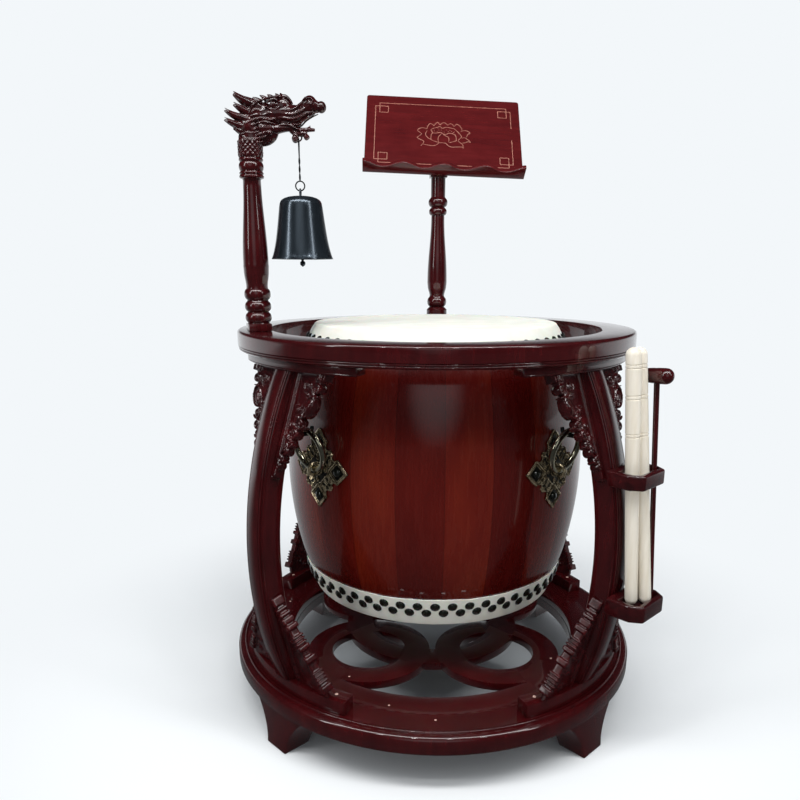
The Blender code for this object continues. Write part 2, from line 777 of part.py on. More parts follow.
def hanging_pieces():
    plate = plate_mesh()
    hook = hook_mesh()
    lug_ring = torus("lug", LUG_R, LUG_WIRE_R, Matrix.Translation(lug) @ UPRIGHT_ALONG_X, 12)
    flange = flange_mesh()
    ring_plane = Matrix.Rotation(HANDLE_LEAN, 4, "Y") @ UPRIGHT_ALONG_Y
    ring_centre = Matrix.Translation(HANDLE_R * handle_up)
    handle = torus("handle", HANDLE_R, HANDLE_WIRE_R, ring_centre @ ring_plane)
    for place, angle in POST_ANGLES.items():
        frame = empty("drum_frame_" + place, turn=angle, parent=drum_frame)
        piece = add_piece("plate_" + place, plate, bronze, frame)
        combine(piece, add_cutter("lug_" + place, lug_ring, frame), "UNION")
        ring = add_piece("ring_handle_" + place, handle, bronze, frame)
        ring.location = handle_pivot
        hooked = add_piece("hook_" + place, hook, steel, post_frames[place])
        combine(hooked, add_cutter("flange_" + place, flange, post_frames[place]), "UNION")


def bead(middle, radius, half_height, bulge):
    """Round moulding of a turned post, from its top to its bottom."""
    core = radius - bulge
    angles = [math.radians(a) for a in (60, 0, -60)]
    return [(core + bulge * math.cos(a), middle + half_height * math.sin(a)) for a in angles]


def vase(high, low, narrow, wide, steps):
    """Slow swell of a turned post, from its narrow top to its wide end."""
    points = []
    for i in range(steps + 1):
        part = i / steps
        swell = (1 - math.cos(math.pi * part)) / 2
        points.append((narrow + (wide - narrow) * swell, high + (low - high) * part))
    return points


def tenon(height):
    """Round end that stands in a socket of the upper ring, from a height inside the post's foot."""
    return [(TENON_R, height), (TENON_R, -TENON_LENGTH), (0.0, -TENON_LENGTH)]


# Bell post: square foot, three beads, a vase, a collar and a scaled neck
def bell_post():
    profile = [(0.0, NECK_TOP), (NECK_R - 0.002, NECK_TOP), (NECK_R, 0.316), (NECK_R, 0.302)]
    profile += [(BELL_POST_GROOVE_R, 0.295)] + bead(0.285, BELL_POST_COLLAR_R, 0.008, 0.003)
    profile += [(BELL_POST_GROOVE_R, 0.275)] + bead(0.271, BELL_POST_COLLAR_R, 0.003, 0.002)
    profile += vase(0.263, 0.120, BELL_POST_NARROW_R, BELL_POST_WIDE_R, 5)
    profile += vase(0.108, 0.078, BELL_POST_WIDE_R, BELL_POST_GROOVE_R, 2)
    profile += bead(0.067, BELL_POST_BEAD_R, 0.009, 0.005) + [(BELL_POST_GROOVE_R, 0.0557)]
    profile += bead(0.045, BELL_POST_BEAD_R, 0.009, 0.005) + [(BELL_POST_GROOVE_R, 0.0353)]
    profile += bead(0.025, BELL_POST_BEAD_R, 0.009, 0.005)
    profile += [(BELL_FOOT_WIDTH / 2 - 0.001, BELL_FOOT_HEIGHT)]
    profile += [(BELL_FOOT_WIDTH / 2 - 0.001, BELL_FOOT_HEIGHT / 2)] + tenon(BELL_FOOT_HEIGHT / 2)
    post = turned("bell_post", profile, POST_TURN_STEPS, lacquer, bell_post_frame)
    post.rotation_euler.z = BELL_POST_ANGLE
    block_height = BELL_FOOT_HEIGHT - GAP
    block = box((0, 0, GAP + block_height / 2), (BELL_FOOT_WIDTH, BELL_FOOT_WIDTH, block_height))
    foot = add_cutter("bell_post_foot", finish_mesh("bell_post_foot", block), bell_post_frame)
    foot.rotation_euler.z = BELL_POST_ANGLE
    combine(post, foot, "UNION")


# Dragon head: its outline in the plane of the bell, from the neck round the mane to the jaws
HEAD_OUTLINE = [
    (0.026, NECK_TOP + GAP), (-0.020, NECK_TOP + GAP), (-0.026, 0.348), (-0.040, 0.361),
    (-0.024, 0.361), (-0.038, 0.376), (-0.014, 0.372), (-0.025, 0.385), (-0.014, 0.387),
    (-0.022, 0.402), (0.014, 0.394), (0.038, 0.399), (0.059, 0.400), (0.067, 0.398),
    (0.075, 0.393), (0.077, 0.386), (0.090, 0.385), (0.100, 0.394), (0.111, 0.400),
    (0.126, 0.390), (0.134, 0.384), (0.124, 0.371), (0.106, 0.368), (0.097, 0.356),
    (0.087, 0.350), (0.105, 0.350), (0.113, 0.346), (0.110, 0.339), (0.053, 0.339),
    (0.041, 0.328),
]


def dragon_head():
    frame = Matrix.Translation((0, HEAD_THICKNESS / 2, 0)) @ UPRIGHT_ALONG_X
    outline = prism("dragon_head", HEAD_OUTLINE, frame, HEAD_THICKNESS)
    head = add_piece("dragon_head", finish_mesh("dragon_head", outline), lacquer, bell_post_frame)
    eye_place = Matrix.Translation((BELL_REACH, 0, JAW_EYE_HEIGHT))
    eye = torus("jaw_eye", EYE_R, EYE_WIRE_R, eye_place @ UPRIGHT_ALONG_X, 12)
    combine(head, add_cutter("jaw_eye", eye, bell_post_frame), "UNION")


# Heights of the bell's suspension, each from the piece that carries it
wire_pivot_z = JAW_EYE_HEIGHT - EYE_R
wire_top_z = wire_pivot_z + EYE_WIRE_R + GAP + WIRE_R
bell_pivot_z = WIRE_RING_HEIGHT - WIRE_RING_R
crown_loop_z = bell_pivot_z + WIRE_R + GAP + CROWN_LOOP_WIRE_R - CROWN_LOOP_R
bell_inside_z = BELL_TOP_HEIGHT - BELL_WALL
clapper_pivot_z = bell_inside_z - CLAPPER_EYE_R
clapper_loop_z = clapper_pivot_z + EYE_WIRE_R + GAP + EYE_WIRE_R - CLAPPER_EYE_R


def bell_wire():
    """Loop of wire through the jaw's eye, closed on a small ring at its lower end."""
    low_z = WIRE_RING_HEIGHT + WIRE_RING_R + WIRE_HALF_WIDTH
    high_z = wire_top_z - WIRE_HALF_WIDTH
    bm = bmesh.new()
    circle = bmesh.ops.create_circle(
        bm, segments=WIRE_SIDES, radius=WIRE_R,
        matrix=Matrix.Translation((0, WIRE_HALF_WIDTH, low_z)),
    )
    ends = circle["verts"]
    steps = 8
    for middle_z, lift in ((high_z, high_z - low_z), (low_z, low_z - high_z)):
        edges = [edge for edge in bm.edges if all(vert in ends for vert in edge.verts)]
        drawn = bmesh.ops.extrude_edge_only(bm, edges=edges)
        ends = [item for item in drawn["geom"] if isinstance(item, bmesh.types.BMVert)]
        bmesh.ops.translate(bm, verts=ends, vec=(0, 0, lift))
        edges = [edge for edge in bm.edges if all(vert in ends for vert in edge.verts)]
        bent = bmesh.ops.spin(
            bm, geom=ends + edges, cent=(0, 0, middle_z), axis=(1, 0, 0), angle=math.pi, steps=steps
        )
        ends = [item for item in bent["geom_last"] if isinstance(item, bmesh.types.BMVert)]
    bmesh.ops.remove_doubles(bm, verts=bm.verts, dist=0.00002)
    bmesh.ops.translate(bm, verts=bm.verts, vec=(0, 0, -wire_pivot_z))
    wire = add_piece("bell_wire", finish_mesh("bell_wire", bm, smooth=True), steel, wire_frame)
    ring_place = Matrix.Translation((0, 0, WIRE_RING_HEIGHT - wire_pivot_z))
    ring = torus("wire_ring", WIRE_RING_R, WIRE_R, ring_place @ UPRIGHT_ALONG_X, 16)
    combine(wire, add_cutter("wire_ring", ring, wire_frame), "UNION")


def bell_r(z):
    """Outer radius of the bell's side, which flares towards its mouth."""
    part = (BELL_TOP_HEIGHT - 0.010 - z) / (BELL_TOP_HEIGHT - 0.010 - BELL_MOUTH_HEIGHT)
    return BELL_SHOULDER_R + (BELL_MOUTH_R - BELL_SHOULDER_R) * (0.72 * part + 0.28 * part ** 5)


def bell():
    shoulder_z = BELL_TOP_HEIGHT - 0.010
    heights = [shoulder_z + (BELL_MOUTH_HEIGHT - shoulder_z) * i / 5 for i in range(6)]
    profile = [(0.0, BELL_TOP_HEIGHT), (BELL_CROWN_R / 2, BELL_TOP_HEIGHT - 0.001)]
    profile += [(BELL_CROWN_R, BELL_TOP_HEIGHT - 0.003)] + [(bell_r(z), z) for z in heights]
    profile += [(bell_r(z) - BELL_WALL, z) for z in reversed(heights)]
    profile += [(BELL_CROWN_R - BELL_WALL / 2, bell_inside_z - 0.003), (0.0, bell_inside_z)]
    profile = [(r, z - bell_pivot_z) for r, z in profile]
    body = turned("bell", profile, BELL_STEPS, gunmetal, bell_frame)
    group = cutter_group("bell_eyes")
    crown = Matrix.Translation((0, 0, crown_loop_z - bell_pivot_z)) @ UPRIGHT_ALONG_Y
    loop = torus("crown_loop", CROWN_LOOP_R, CROWN_LOOP_WIRE_R, crown, 12)
    add_cutter("crown_loop", loop, bell_frame, group)
    inside = Matrix.Translation((0, 0, bell_inside_z - bell_pivot_z)) @ UPRIGHT_ALONG_Y
    eye = torus("clapper_eye", CLAPPER_EYE_R, EYE_WIRE_R, inside, 12)
    add_cutter("clapper_eye", eye, bell_frame, group)
    combine(body, group, "UNION")


def clapper():
    """Rod with a ball at its lower end and a loop through the bell's inner eye."""
    ball_z = BELL_MOUTH_HEIGHT - CLAPPER_BELOW_MOUTH + CLAPPER_BALL_R - clapper_pivot_z
    rod_top = clapper_loop_z - CLAPPER_EYE_R - clapper_pivot_z
    profile = [(0.0, rod_top), (CLAPPER_ROD_R, rod_top), (CLAPPER_ROD_R, ball_z + CLAPPER_BALL_R)]
    profile += arc(0.0, ball_z, CLAPPER_BALL_R, 60, -60, 4) + [(0.0, ball_z - CLAPPER_BALL_R)]
    rod = turned("clapper", profile, 10, gunmetal, clapper_frame)
    frame = Matrix.Translation((0, 0, clapper_loop_z - clapper_pivot_z))
    loop = torus("clapper_loop", CLAPPER_EYE_R, EYE_WIRE_R, frame @ UPRIGHT_ALONG_X, 12)
    combine(rod, add_cutter("clapper_loop", loop, clapper_frame), "UNION")


# Lectern: the board's frame has X across it, Y up its slope and Z out of its face
board_up = Vector((0, math.sin(BOARD_TILT), math.cos(BOARD_TILT)))
board_out = Vector((0, -math.cos(BOARD_TILT), math.sin(BOARD_TILT)))
board_place = Vector((BOARD_ASIDE, -BOARD_BEFORE_POST, BOARD_HEIGHT))
board_frame = (
    Matrix.Translation(board_place)
    @ Matrix((Vector((1, 0, 0)), board_up, board_out)).transposed().to_4x4()
    @ Matrix.Rotation(BOARD_LEAN, 4, "Z")
)


def lectern_post():
    profile = [(0.0, NECK_HEIGHT + 0.004), (LECTERN_NECK_R, NECK_HEIGHT + 0.004)]
    profile += [(LECTERN_NECK_R, 0.276)] + bead(0.266, LECTERN_COLLAR_R, 0.008, 0.004)
    profile += [(LECTERN_NECK_R, 0.254)] + bead(0.245, LECTERN_COLLAR_R - 0.0015, 0.006, 0.003)
    profile += vase(0.236, 0.085, LECTERN_NARROW_R, LECTERN_BEAD_R, 5)
    profile += vase(0.071, 0.046, LECTERN_BEAD_R, LECTERN_GROOVE_R, 2)
    profile += bead(0.033, LECTERN_BEAD_R, 0.010, 0.005) + [(LECTERN_GROOVE_R, 0.020)]
    profile += [(LECTERN_FLANGE_R, 0.014), (LECTERN_FLANGE_R, GAP), (TENON_R, GAP)] + tenon(GAP)[1:]
    post = turned("lectern_post", profile, POST_TURN_STEPS, lacquer, lectern_frame)
    tall = BOARD_SLANT / 2
    block = box((0, 0, NECK_HEIGHT + tall / 2), (BLOCK_WIDTH, BLOCK_DEPTH, tall))
    cut_away(block, board_place - board_out * (BOARD_THICKNESS + GAP), board_out)
    joined = add_cutter("lectern_block", finish_mesh("lectern_block", block), lectern_frame)
    combine(post, joined, "UNION")


def lectern_board():
    half = BOARD_WIDTH / 2
    outline = [(-half, 0), (half, 0), (half, BOARD_SLANT), (-half, BOARD_SLANT)]
    frame = board_frame @ Matrix.Translation((0, 0, -BOARD_THICKNESS))
    board = prism("lectern_board", outline, frame, BOARD_THICKNESS)
    add_piece("lectern_board", finish_mesh("lectern_board", board), lacquer, lectern_frame)


def lectern_ledge():
    """Shelf square to the board, with a wavy outer edge."""
    half = LEDGE_WIDTH / 2
    steps = 8 * LEDGE_CRESTS
    outline = [(half, -BOARD_THICKNESS), (-half, -BOARD_THICKNESS)]
    for i in range(steps + 1):
        part = i / steps
        wave = LEDGE_WAVE * math.cos(math.tau * LEDGE_CRESTS * part)
        outline.append((-half + LEDGE_WIDTH * part, LEDGE_DEPTH + wave))
    frame = board_frame @ Matrix.Translation((0, -GAP, 0)) @ UPRIGHT_ALONG_X
    ledge = prism("lectern_ledge", outline, frame, LEDGE_THICKNESS)
    add_piece("lectern_ledge", finish_mesh("lectern_ledge", ledge), lacquer, lectern_frame)


# Stick holder: two blocks on the outer face of the front right post
def holder_outline(inner, outer, half, corner_out, corner_across):
    """Block seen from above, with its outer corners cut off."""
    low, high = HOLDER_SHIFT - half, HOLDER_SHIFT + half
    return [
        (inner, low), (outer - corner_out, low), (outer, low + corner_across),
        (outer, high - corner_across), (outer - corner_out, high), (inner, high),
    ]


def stick_holder(name, pocket_r, base_z, height, floor):
    """Block with a pocket for the sticks; a floor of 0 leaves the pocket open below."""
    middle_z = base_z + height / 2
    post_face = Vector((post_outer_r(middle_z), 0, middle_z)) - bow_centre
    post_face.normalize()
    near, far = pocket_r - POCKET_DEPTH / 2, pocket_r + POCKET_DEPTH / 2
    outline = holder_outline(
        bow_centre.x + bow_radius - POST_DEPTH, far + HOLDER_WALL, HOLDER_WIDTH / 2,
        HOLDER_CORNER_OUT, HOLDER_CORNER_ACROSS,
    )
    block = prism(name, outline, Matrix.Translation((0, 0, base_z)), height)
    bmesh.ops.recalc_face_normals(block, faces=block.faces)
    cut_away(block, bow_centre + post_face * (bow_radius + GAP), -post_face)
    piece = add_piece(name, finish_mesh(name, block), lacquer, post_frames["front_right"])
    pocket = holder_outline(near, far, POCKET_WIDTH / 2, POCKET_CORNER, POCKET_CORNER)
    start = base_z + floor if floor else base_z - height
    cut = prism(name + "_pocket", pocket, Matrix.Translation((0, 0, start)), 2 * height)
    hollow = finish_mesh(name + "_pocket", cut)
    combine(piece, add_cutter(name + "_pocket", hollow, post_frames["front_right"]), "DIFFERENCE")


def round_end(radius, middle, top):
    """Quarter round that closes the top or the bottom of a stick on its axis."""
    points = arc(0.0, middle, radius, 90, 0, 3)
    points[0] = (0.0, middle + radius)
    return points if top else [(r, 2 * middle - z) for r, z in reversed(points)]


def leaning(name, radius, offset, end_r, lean, side_lean):
    """Empty at the centre of a stick's round lower end, which stands on the cup's floor."""
    made = empty(name, parent=post_frames["front_right"])
    made.location = (radius, offset, CUP_BASE_Z + CUP_FLOOR + GAP + end_r)
    made.rotation_euler = (-side_lean, -lean, 0)
    return made


def drumsticks():
    places = {
        "drumstick_1": (FIRST_STICK_R, FIRST_STICK_OFFSET, FIRST_STICK_LEAN, FIRST_STICK_SIDE_LEAN),
        "drumstick_2": (SECOND_STICK_R, SECOND_STICK_OFFSET, SECOND_STICK_LEAN, SECOND_STICK_SIDE_LEAN),
    }
    for name, (radius, offset, lean, side_lean) in places.items():
        frame = leaning(name + "_frame", radius, offset, STICK_END_R, lean, side_lean)
        top = STICK_LENGTH - STICK_END_R - STICK_TOP_R
        profile = round_end(STICK_TOP_R, top, True) + round_end(STICK_END_R, 0.0, False)
        turned(name, profile, STICK_STEPS, pale_wood, frame)


def mallet():
    frame = leaning(
        "mallet_frame", MALLET_CUP_R, MALLET_CUP_OFFSET, MALLET_HANDLE_R, MALLET_LEAN, MALLET_SIDE_LEAN
    )
    top = MALLET_HEAD_UP - MALLET_HEAD_R + MALLET_SOCKET_DEPTH
    profile = [(0.0, top), (MALLET_HANDLE_R, top)] + round_end(MALLET_HANDLE_R, 0.0, False)
    turned("mallet_handle", profile, STICK_STEPS, lacquer, frame)
    half = MALLET_HEAD_LENGTH / 2
    small = MALLET_HEAD_SMALL_R
    barrel = round_end(MALLET_HEAD_R, half - MALLET_HEAD_R, True)
    barrel += [(MALLET_HEAD_R, 0.0), (small, -half * 0.8), (small * 0.8, -half * 0.95), (0.0, -half)]
    head = turned("mallet_head", barrel, STICK_STEPS, lacquer, frame)
    head.location.z = MALLET_HEAD_UP
    head.rotation_euler = (0, math.pi / 2, MALLET_HEAD_TURN)
    bm = bmesh.new()
    bmesh.ops.create_cone(
        bm, cap_ends=True, segments=STICK_STEPS, radius1=MALLET_HANDLE_R + 2 * GAP,
        radius2=MALLET_HANDLE_R + 2 * GAP, depth=2 * (MALLET_SOCKET_DEPTH + GAP),
    )
    socket = add_cutter("mallet_socket", finish_mesh("mallet_socket", bm), frame)
    socket.location.z = MALLET_HEAD_UP - MALLET_HEAD_R
    combine(head, socket, "DIFFERENCE")


base_ring()
base_tracery()
post_pieces()
upper_ring()
drum_frame = empty("drum_frame", parent=axis)
drum_shell()
drum_heads()
hanging_pieces()

bell_post_frame = empty("bell_post_frame", bell_post_place, parent=axis)
wire_frame = empty("wire_frame", (BELL_REACH, 0, wire_pivot_z), parent=bell_post_frame)
bell_frame = empty("bell_frame", (0, 0, bell_pivot_z - wire_pivot_z), parent=wire_frame)
clapper_frame = empty("clapper_frame", (0, 0, clapper_pivot_z - bell_pivot_z), parent=bell_frame)
bell_post()
dragon_head()
bell_wire()
bell()
clapper()

lectern_frame = empty("lectern_frame", lectern_place, LECTERN_TURN, axis)
lectern_post()
lectern_board()
lectern_ledge()

stick_holder("stick_holder_loop", LOOP_POCKET_R, LOOP_BASE_Z, LOOP_HEIGHT, 0.0)
stick_holder("stick_holder_cup", CUP_POCKET_R, CUP_BASE_Z, CUP_HEIGHT, CUP_FLOOR)
drumsticks()
mallet()

# The whole object is centred on the origin, with its feet on z = 0
graph = bpy.context.evaluated_depsgraph_get()
corners = []
for piece in parts.objects:
    solid = piece.evaluated_get(graph)
    corners += [solid.matrix_world @ vert.co for vert in solid.data.vertices]
low = Vector(min(corner[i] for corner in corners) for i in range(3))
high = Vector(max(corner[i] for corner in corners) for i in range(3))
axis.location = (-(low.x + high.x) / 2, -(low.y + high.y) / 2, -low.z)
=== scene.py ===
# %% [markdown]
# # A temple drum in its stand
# A barrel drum hangs by four ring handles in a round lacquered stand, with a bell on a dragon
# post, a lectern and a holder for the sticks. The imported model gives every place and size. This
# lesson gives the pieces their mouldings, carving, metalwork and finishes.

# %% The fixed frame
import math
import bpy
import bmesh
from mathutils import Matrix, Vector


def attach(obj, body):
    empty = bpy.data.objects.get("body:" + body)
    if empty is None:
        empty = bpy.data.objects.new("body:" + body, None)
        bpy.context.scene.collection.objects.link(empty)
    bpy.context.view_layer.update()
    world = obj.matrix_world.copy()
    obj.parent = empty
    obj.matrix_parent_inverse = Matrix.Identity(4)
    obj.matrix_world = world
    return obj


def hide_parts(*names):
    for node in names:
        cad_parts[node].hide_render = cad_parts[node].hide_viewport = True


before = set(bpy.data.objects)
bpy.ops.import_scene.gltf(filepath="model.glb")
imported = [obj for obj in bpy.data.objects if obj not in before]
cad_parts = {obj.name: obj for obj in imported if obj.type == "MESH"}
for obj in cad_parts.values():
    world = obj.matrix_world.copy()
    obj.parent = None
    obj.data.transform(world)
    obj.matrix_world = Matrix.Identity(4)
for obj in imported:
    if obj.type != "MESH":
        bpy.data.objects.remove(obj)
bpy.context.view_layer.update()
print("pieces of the packed model:", len(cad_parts))

# %% [markdown]
# ## Colours and nodes
# Colours are written as the eye reads them, in sRGB hex, and one function turns them to the
# linear values that a shader takes. Small functions add a node. What is named in capitals, or
# numbered, goes to a socket, where an output is linked and anything else is set.

# %% Colour and node helpers
def colour(hex_code):
    """Linear colour of an sRGB hex code."""
    channels = [int(hex_code[i:i + 2], 16) / 255 for i in (1, 3, 5)]
    linear = [c / 12.92 if c <= 0.04045 else ((c + 0.055) / 1.055) ** 2.4 for c in channels]
    return (*linear, 1.0)


def fill(finish, node, settings):
    """Sets a node's own values and its sockets, and links the outputs among the values."""
    for key, value in settings.items():
        if isinstance(key, str) and hasattr(node, key):
            setattr(node, key, value)
        elif isinstance(value, bpy.types.NodeSocket):
            finish.node_tree.links.new(value, node.inputs[key])
        else:
            node.inputs[key].default_value = colour(value) if isinstance(value, str) else value
    return node


def add_node(finish, kind, settings):
    return fill(finish, finish.node_tree.nodes.new("ShaderNode" + kind), settings)


def calc(finish, operation, *values):
    """Output of a Math node."""
    settings = {"operation": operation, **dict(enumerate(values))}
    return add_node(finish, "Math", settings).outputs[0]


def blend(finish, share, first, second):
    """Colour between two others."""
    settings = {"data_type": "RGBA", 0: share, 6: first, 7: second}
    return add_node(finish, "Mix", settings).outputs[2]


def mapped(finish, source, low, high, to_low=0.0, to_high=1.0, way="SMOOTHSTEP"):
    """Value brought from one range into another."""
    return add_node(finish, "MapRange", {
        "interpolation_type": way, "Value": source, "From Min": low, "From Max": high,
        "To Min": to_low, "To Max": to_high,
    }).outputs["Result"]


def spread(finish, source, low, high):
    """Value from 0 to 1 brought into a range."""
    return mapped(finish, source, 0.0, 1.0, low, high, "LINEAR")


def ramp(finish, source, stops):
    """Colour ramp with stops of (position, hex code)."""
    node = add_node(finish, "ValToRGB", {"Fac": source})
    elements = node.color_ramp.elements
    while len(elements) < len(stops):
        elements.new(0.5)
    for element, (position, code) in zip(elements, stops):
        element.position = position
        element.color = colour(code)
    return node.outputs["Color"]


def new_finish(name, settings):
    """Principled material, its shader and its Object coordinates."""
    finish = bpy.data.materials.new(name)
    finish.use_nodes = True
    shader = fill(finish, finish.node_tree.nodes["Principled BSDF"], settings)
    return finish, shader, add_node(finish, "TexCoord", {}).outputs["Object"]


def bump(finish, source, strength, depth):
    """Normal of a height pattern; the depth is in metres."""
    settings = {"Height": source, "Strength": strength, "Distance": depth}
    return add_node(finish, "Bump", settings).outputs["Normal"]


def grain(finish, place, stretch, scale, detail=3.0):
    """Noise drawn out along the piece; the scale is in waves a metre."""
    drawn = add_node(finish, "Mapping", {"Vector": place, "Scale": stretch}).outputs["Vector"]
    return add_node(finish, "TexNoise", {
        "Vector": drawn, "Scale": scale, "Detail": detail, "Roughness": 0.55,
    }).outputs["Fac"]


# %% [markdown]
# ## Lacquered hardwood
# The stand is rosewood-coloured hardwood, stained a dark red and sprayed with thick clear
# lacquer. The stain lies a little unevenly, so the colour drifts over some 60 mm. The lacquer is
# the coat of the shader: its sharp highlights are what makes every bead and edge read. The low
# carvings are rubbed duller.

# %% Lacquer of the stand
EVEN = (1.0, 1.0, 1.0)
WOOD_UNDER_COAT = {"IOR": 1.5, "Specular IOR Level": 0.2, "Coat IOR": 1.5}


def lacquered(name, tones, stretch=EVEN, coat=0.85):
    """Stained wood under a clear coat; the tones are dark, middle and light."""
    settings = {**WOOD_UNDER_COAT, "Coat Weight": coat, "Coat Roughness": 0.035}
    finish, shader, place = new_finish(name, settings)
    cloud = grain(finish, place, EVEN, 16.0)
    fibre = grain(finish, place, stretch, 90.0, 4.0)
    tone = calc(finish, "MULTIPLY_ADD", fibre, 0.55, calc(finish, "MULTIPLY", cloud, 0.45))
    fill(finish, shader, {
        "Base Color": ramp(finish, tone, list(zip((0.30, 0.52, 0.72), tones))),
        "Roughness": spread(finish, cloud, 0.20, 0.30),
        "Normal": bump(finish, cloud, 0.12, 0.0004),
    })
    return finish


CARVING_TONES = ("#1c0405", "#34080b", "#4c1012")
stand_lacquer = lacquered("lacquered_hardwood", ("#2c0608", "#3a080b", "#460c0f"), (1, 1, 0.2))
board_lacquer = lacquered("lacquered_board", ("#470f12", "#531315", "#5e181a"), (0.15, 1, 1))
carved_lacquer = lacquered("lacquered_carving", CARVING_TONES)
rubbed_lacquer = lacquered("lacquered_rail_carving", CARVING_TONES, coat=0.35)
print("stand finishes:", [finish.name for finish in bpy.data.materials])

# %% [markdown]
# ## Staves under clear lacquer
# The barrel is built of upright staves, each cut from another piece of wood, from near-black
# red to a warm orange red. The angle about the drum's axis gives each stave its own random
# tone, its grain runs up the stave, and a fine dark joint line stands between two staves.
# Towards both ends the colour is darkened as painted shade, for the ring's shadow over the top
# and the dimmer light underneath, so the belly looks lit.

# %% Barrel finish
DRUM_AXIS = Vector((0.0, -0.0326182, 0.0))
STAVES = 22
BELLY_Z = 0.47


def stave_finish():
    finish, shader, place = new_finish(
        "lacquered_staves", {**WOOD_UNDER_COAT, "Coat Weight": 0.7, "Coat Roughness": 0.06}
    )
    moved = add_node(finish, "Mapping", {"Vector": place, "Location": -DRUM_AXIS}).outputs[0]
    split = add_node(finish, "SeparateXYZ", {"Vector": moved}).outputs
    angle = calc(finish, "ARCTAN2", split["Y"], split["X"])
    counted = calc(finish, "MULTIPLY_ADD", angle, STAVES / math.tau, STAVES + 0.35)
    random_tone = add_node(finish, "TexWhiteNoise", {
        "noise_dimensions": "1D", "W": calc(finish, "FLOOR", counted),
    }).outputs["Value"]
    fibre = grain(finish, place, (1.0, 1.0, 0.06), 120.0, 4.0)
    drift = grain(finish, place, (1.0, 1.0, 0.35), 9.0, 2.0)
    tone = 0.0
    for source, share in ((random_tone, 0.30), (fibre, 0.20), (drift, 0.62)):
        tone = calc(finish, "MULTIPLY_ADD", source, share, tone)
    shade = ramp(finish, tone, [
        (0.12, "#300504"), (0.38, "#480805"), (0.62, "#5c1008"), (0.88, "#74220e"),
    ])
    # Painted shade: towards both ends the staves blend to near-black, for the ring's shadow and
    # the dim light below.
    end_way = calc(finish, "ABSOLUTE", calc(finish, "SUBTRACT", split["Z"], BELLY_Z))
    shade = blend(finish, mapped(finish, end_way, 0.07, 0.26, 0.0, 0.62), shade, "#240203")
    off_middle = calc(finish, "SUBTRACT", calc(finish, "FRACT", counted), 0.5)
    beside = calc(finish, "ABSOLUTE", off_middle)
    joint = mapped(finish, beside, 0.485, 0.498, 0.0, 0.45, "LINEAR")
    fill(finish, shader, {
        "Base Color": blend(finish, joint, shade, "#1c0202"),
        "Roughness": spread(finish, fibre, 0.18, 0.36),
        "Normal": bump(finish, fibre, 0.2, 0.0002),
    })
    return finish


barrel_lacquer = stave_finish()
print("staves drawn round the barrel:", STAVES)

# %% [markdown]
# ## Hide, metals, pale wood and gilding
# Rawhide is a matt cream skin with faint clouds. The bell is cast and turned metal, blue-grey
# and satin. The plates are cast brass gone dark in their hollows, the ring handles are polished
# by use, and the domed nails and hooks are blackened. The drumsticks are bare pale wood.

# %% The other finishes
def clouded(name, settings, tones, scale, rough, depth=0.0, stretch=EVEN, stops=(0.3, 0.7)):
    """Finish of two tones in clouds, with a roughness range and a fine bump of a depth."""
    finish, shader, place = new_finish(name, settings)
    cloud = grain(finish, place, stretch, scale)
    fill(finish, shader, {
        "Base Color": ramp(finish, cloud, list(zip(stops, tones))),
        "Roughness": spread(finish, cloud, *rough),
    })
    if depth:
        fine = grain(finish, place, stretch, scale * 12, 2.0)
        fill(finish, shader, {"Normal": bump(finish, fine, 0.3, depth)})
    return finish


rawhide = clouded(
    "rawhide", {"IOR": 1.5, "Subsurface Weight": 0.15, "Subsurface Scale": 0.004},
    ("#e9e8dc", "#f4f3ea"), 22.0, (0.42, 0.60), 0.0003,
)
nail_metal = clouded(
    "blackened_nails", {"Metallic": 0.55, "Coat Weight": 1.0, "Coat Roughness": 0.08},
    ("#0c0f0b", "#23281f"), 160.0, (0.18, 0.34),
)
plate_brass = clouded(
    "darkened_brass", {"Metallic": 0.75}, ("#5a4832", "#e0cfac"), 130.0, (0.14, 0.28), 0.0003,
    stops=(0.35, 0.62),
)
plate_ground_finish = clouded(
    "blackened_brass", {"Metallic": 0.6}, ("#0d0d0a", "#26241c"), 130.0, (0.3, 0.5), 0.0003,
    stops=(0.35, 0.7),
)
handle_brass = clouded(
    "polished_brass", {"Metallic": 1.0}, ("#a5a08a", "#cfcab2"), 60.0, (0.14, 0.24)
)
bell_metal = clouded(
    "satin_bell_metal", {"Metallic": 0.8, "Coat Weight": 0.3, "Coat Roughness": 0.12},
    ("#2c343b", "#48525b"), 30.0, (0.18, 0.28), stretch=(1.0, 1.0, 0.08),
)
dark_steel = clouded(
    "blackened_steel", {"Metallic": 0.9}, ("#1f2223", "#3a3d3e"), 90.0, (0.3, 0.45)
)
stick_wood = clouded(
    "bare_pale_wood", {"IOR": 1.45}, ("#e6dcca", "#f1eadd"), 140.0, (0.36, 0.48), 0.0002,
    (1.0, 1.0, 0.07),
)
screw_plug = clouded("pale_wood_plug", {"IOR": 1.45}, ("#c9a595", "#dcc0b2"), 300.0, (0.4, 0.5))
gilding = clouded("gold_paint", {"Metallic": 0.3}, ("#9c5f52", "#c48b78"), 200.0, (0.4, 0.55))
print("materials in the scene:", len(bpy.data.materials))

# %% [markdown]
# ## Working with a bmesh
# Most pieces are turned or bent: a few points make a chain of edges, and spin takes it round an
# axis. A full spin closes on itself with use_merge. A piece is drawn about its own axis, and one
# matrix then places its points in the frame of the CAD pieces, so its object needs no move.

# %% Mesh helpers
translation = Matrix.Translation


def rotation(degrees, axis="Z"):
    return Matrix.Rotation(math.radians(degrees), 4, axis)


UPRIGHT_ALONG_X = rotation(90, "X")
UPRIGHT_ALONG_Y = rotation(90, "Y")
ALONG_X, ALONG_Y, ALONG_Z = (Vector(v) for v in ((1, 0, 0), (0, 1, 0), (0, 0, 1)))
POST_ANGLES = {"front_right": -45, "rear_right": 45, "rear_left": 135, "front_left": -135}
axis_frame = translation(DRUM_AXIS)
post_frame = {place: axis_frame @ rotation(angle) for place, angle in POST_ANGLES.items()}
frames = list(post_frame.values())


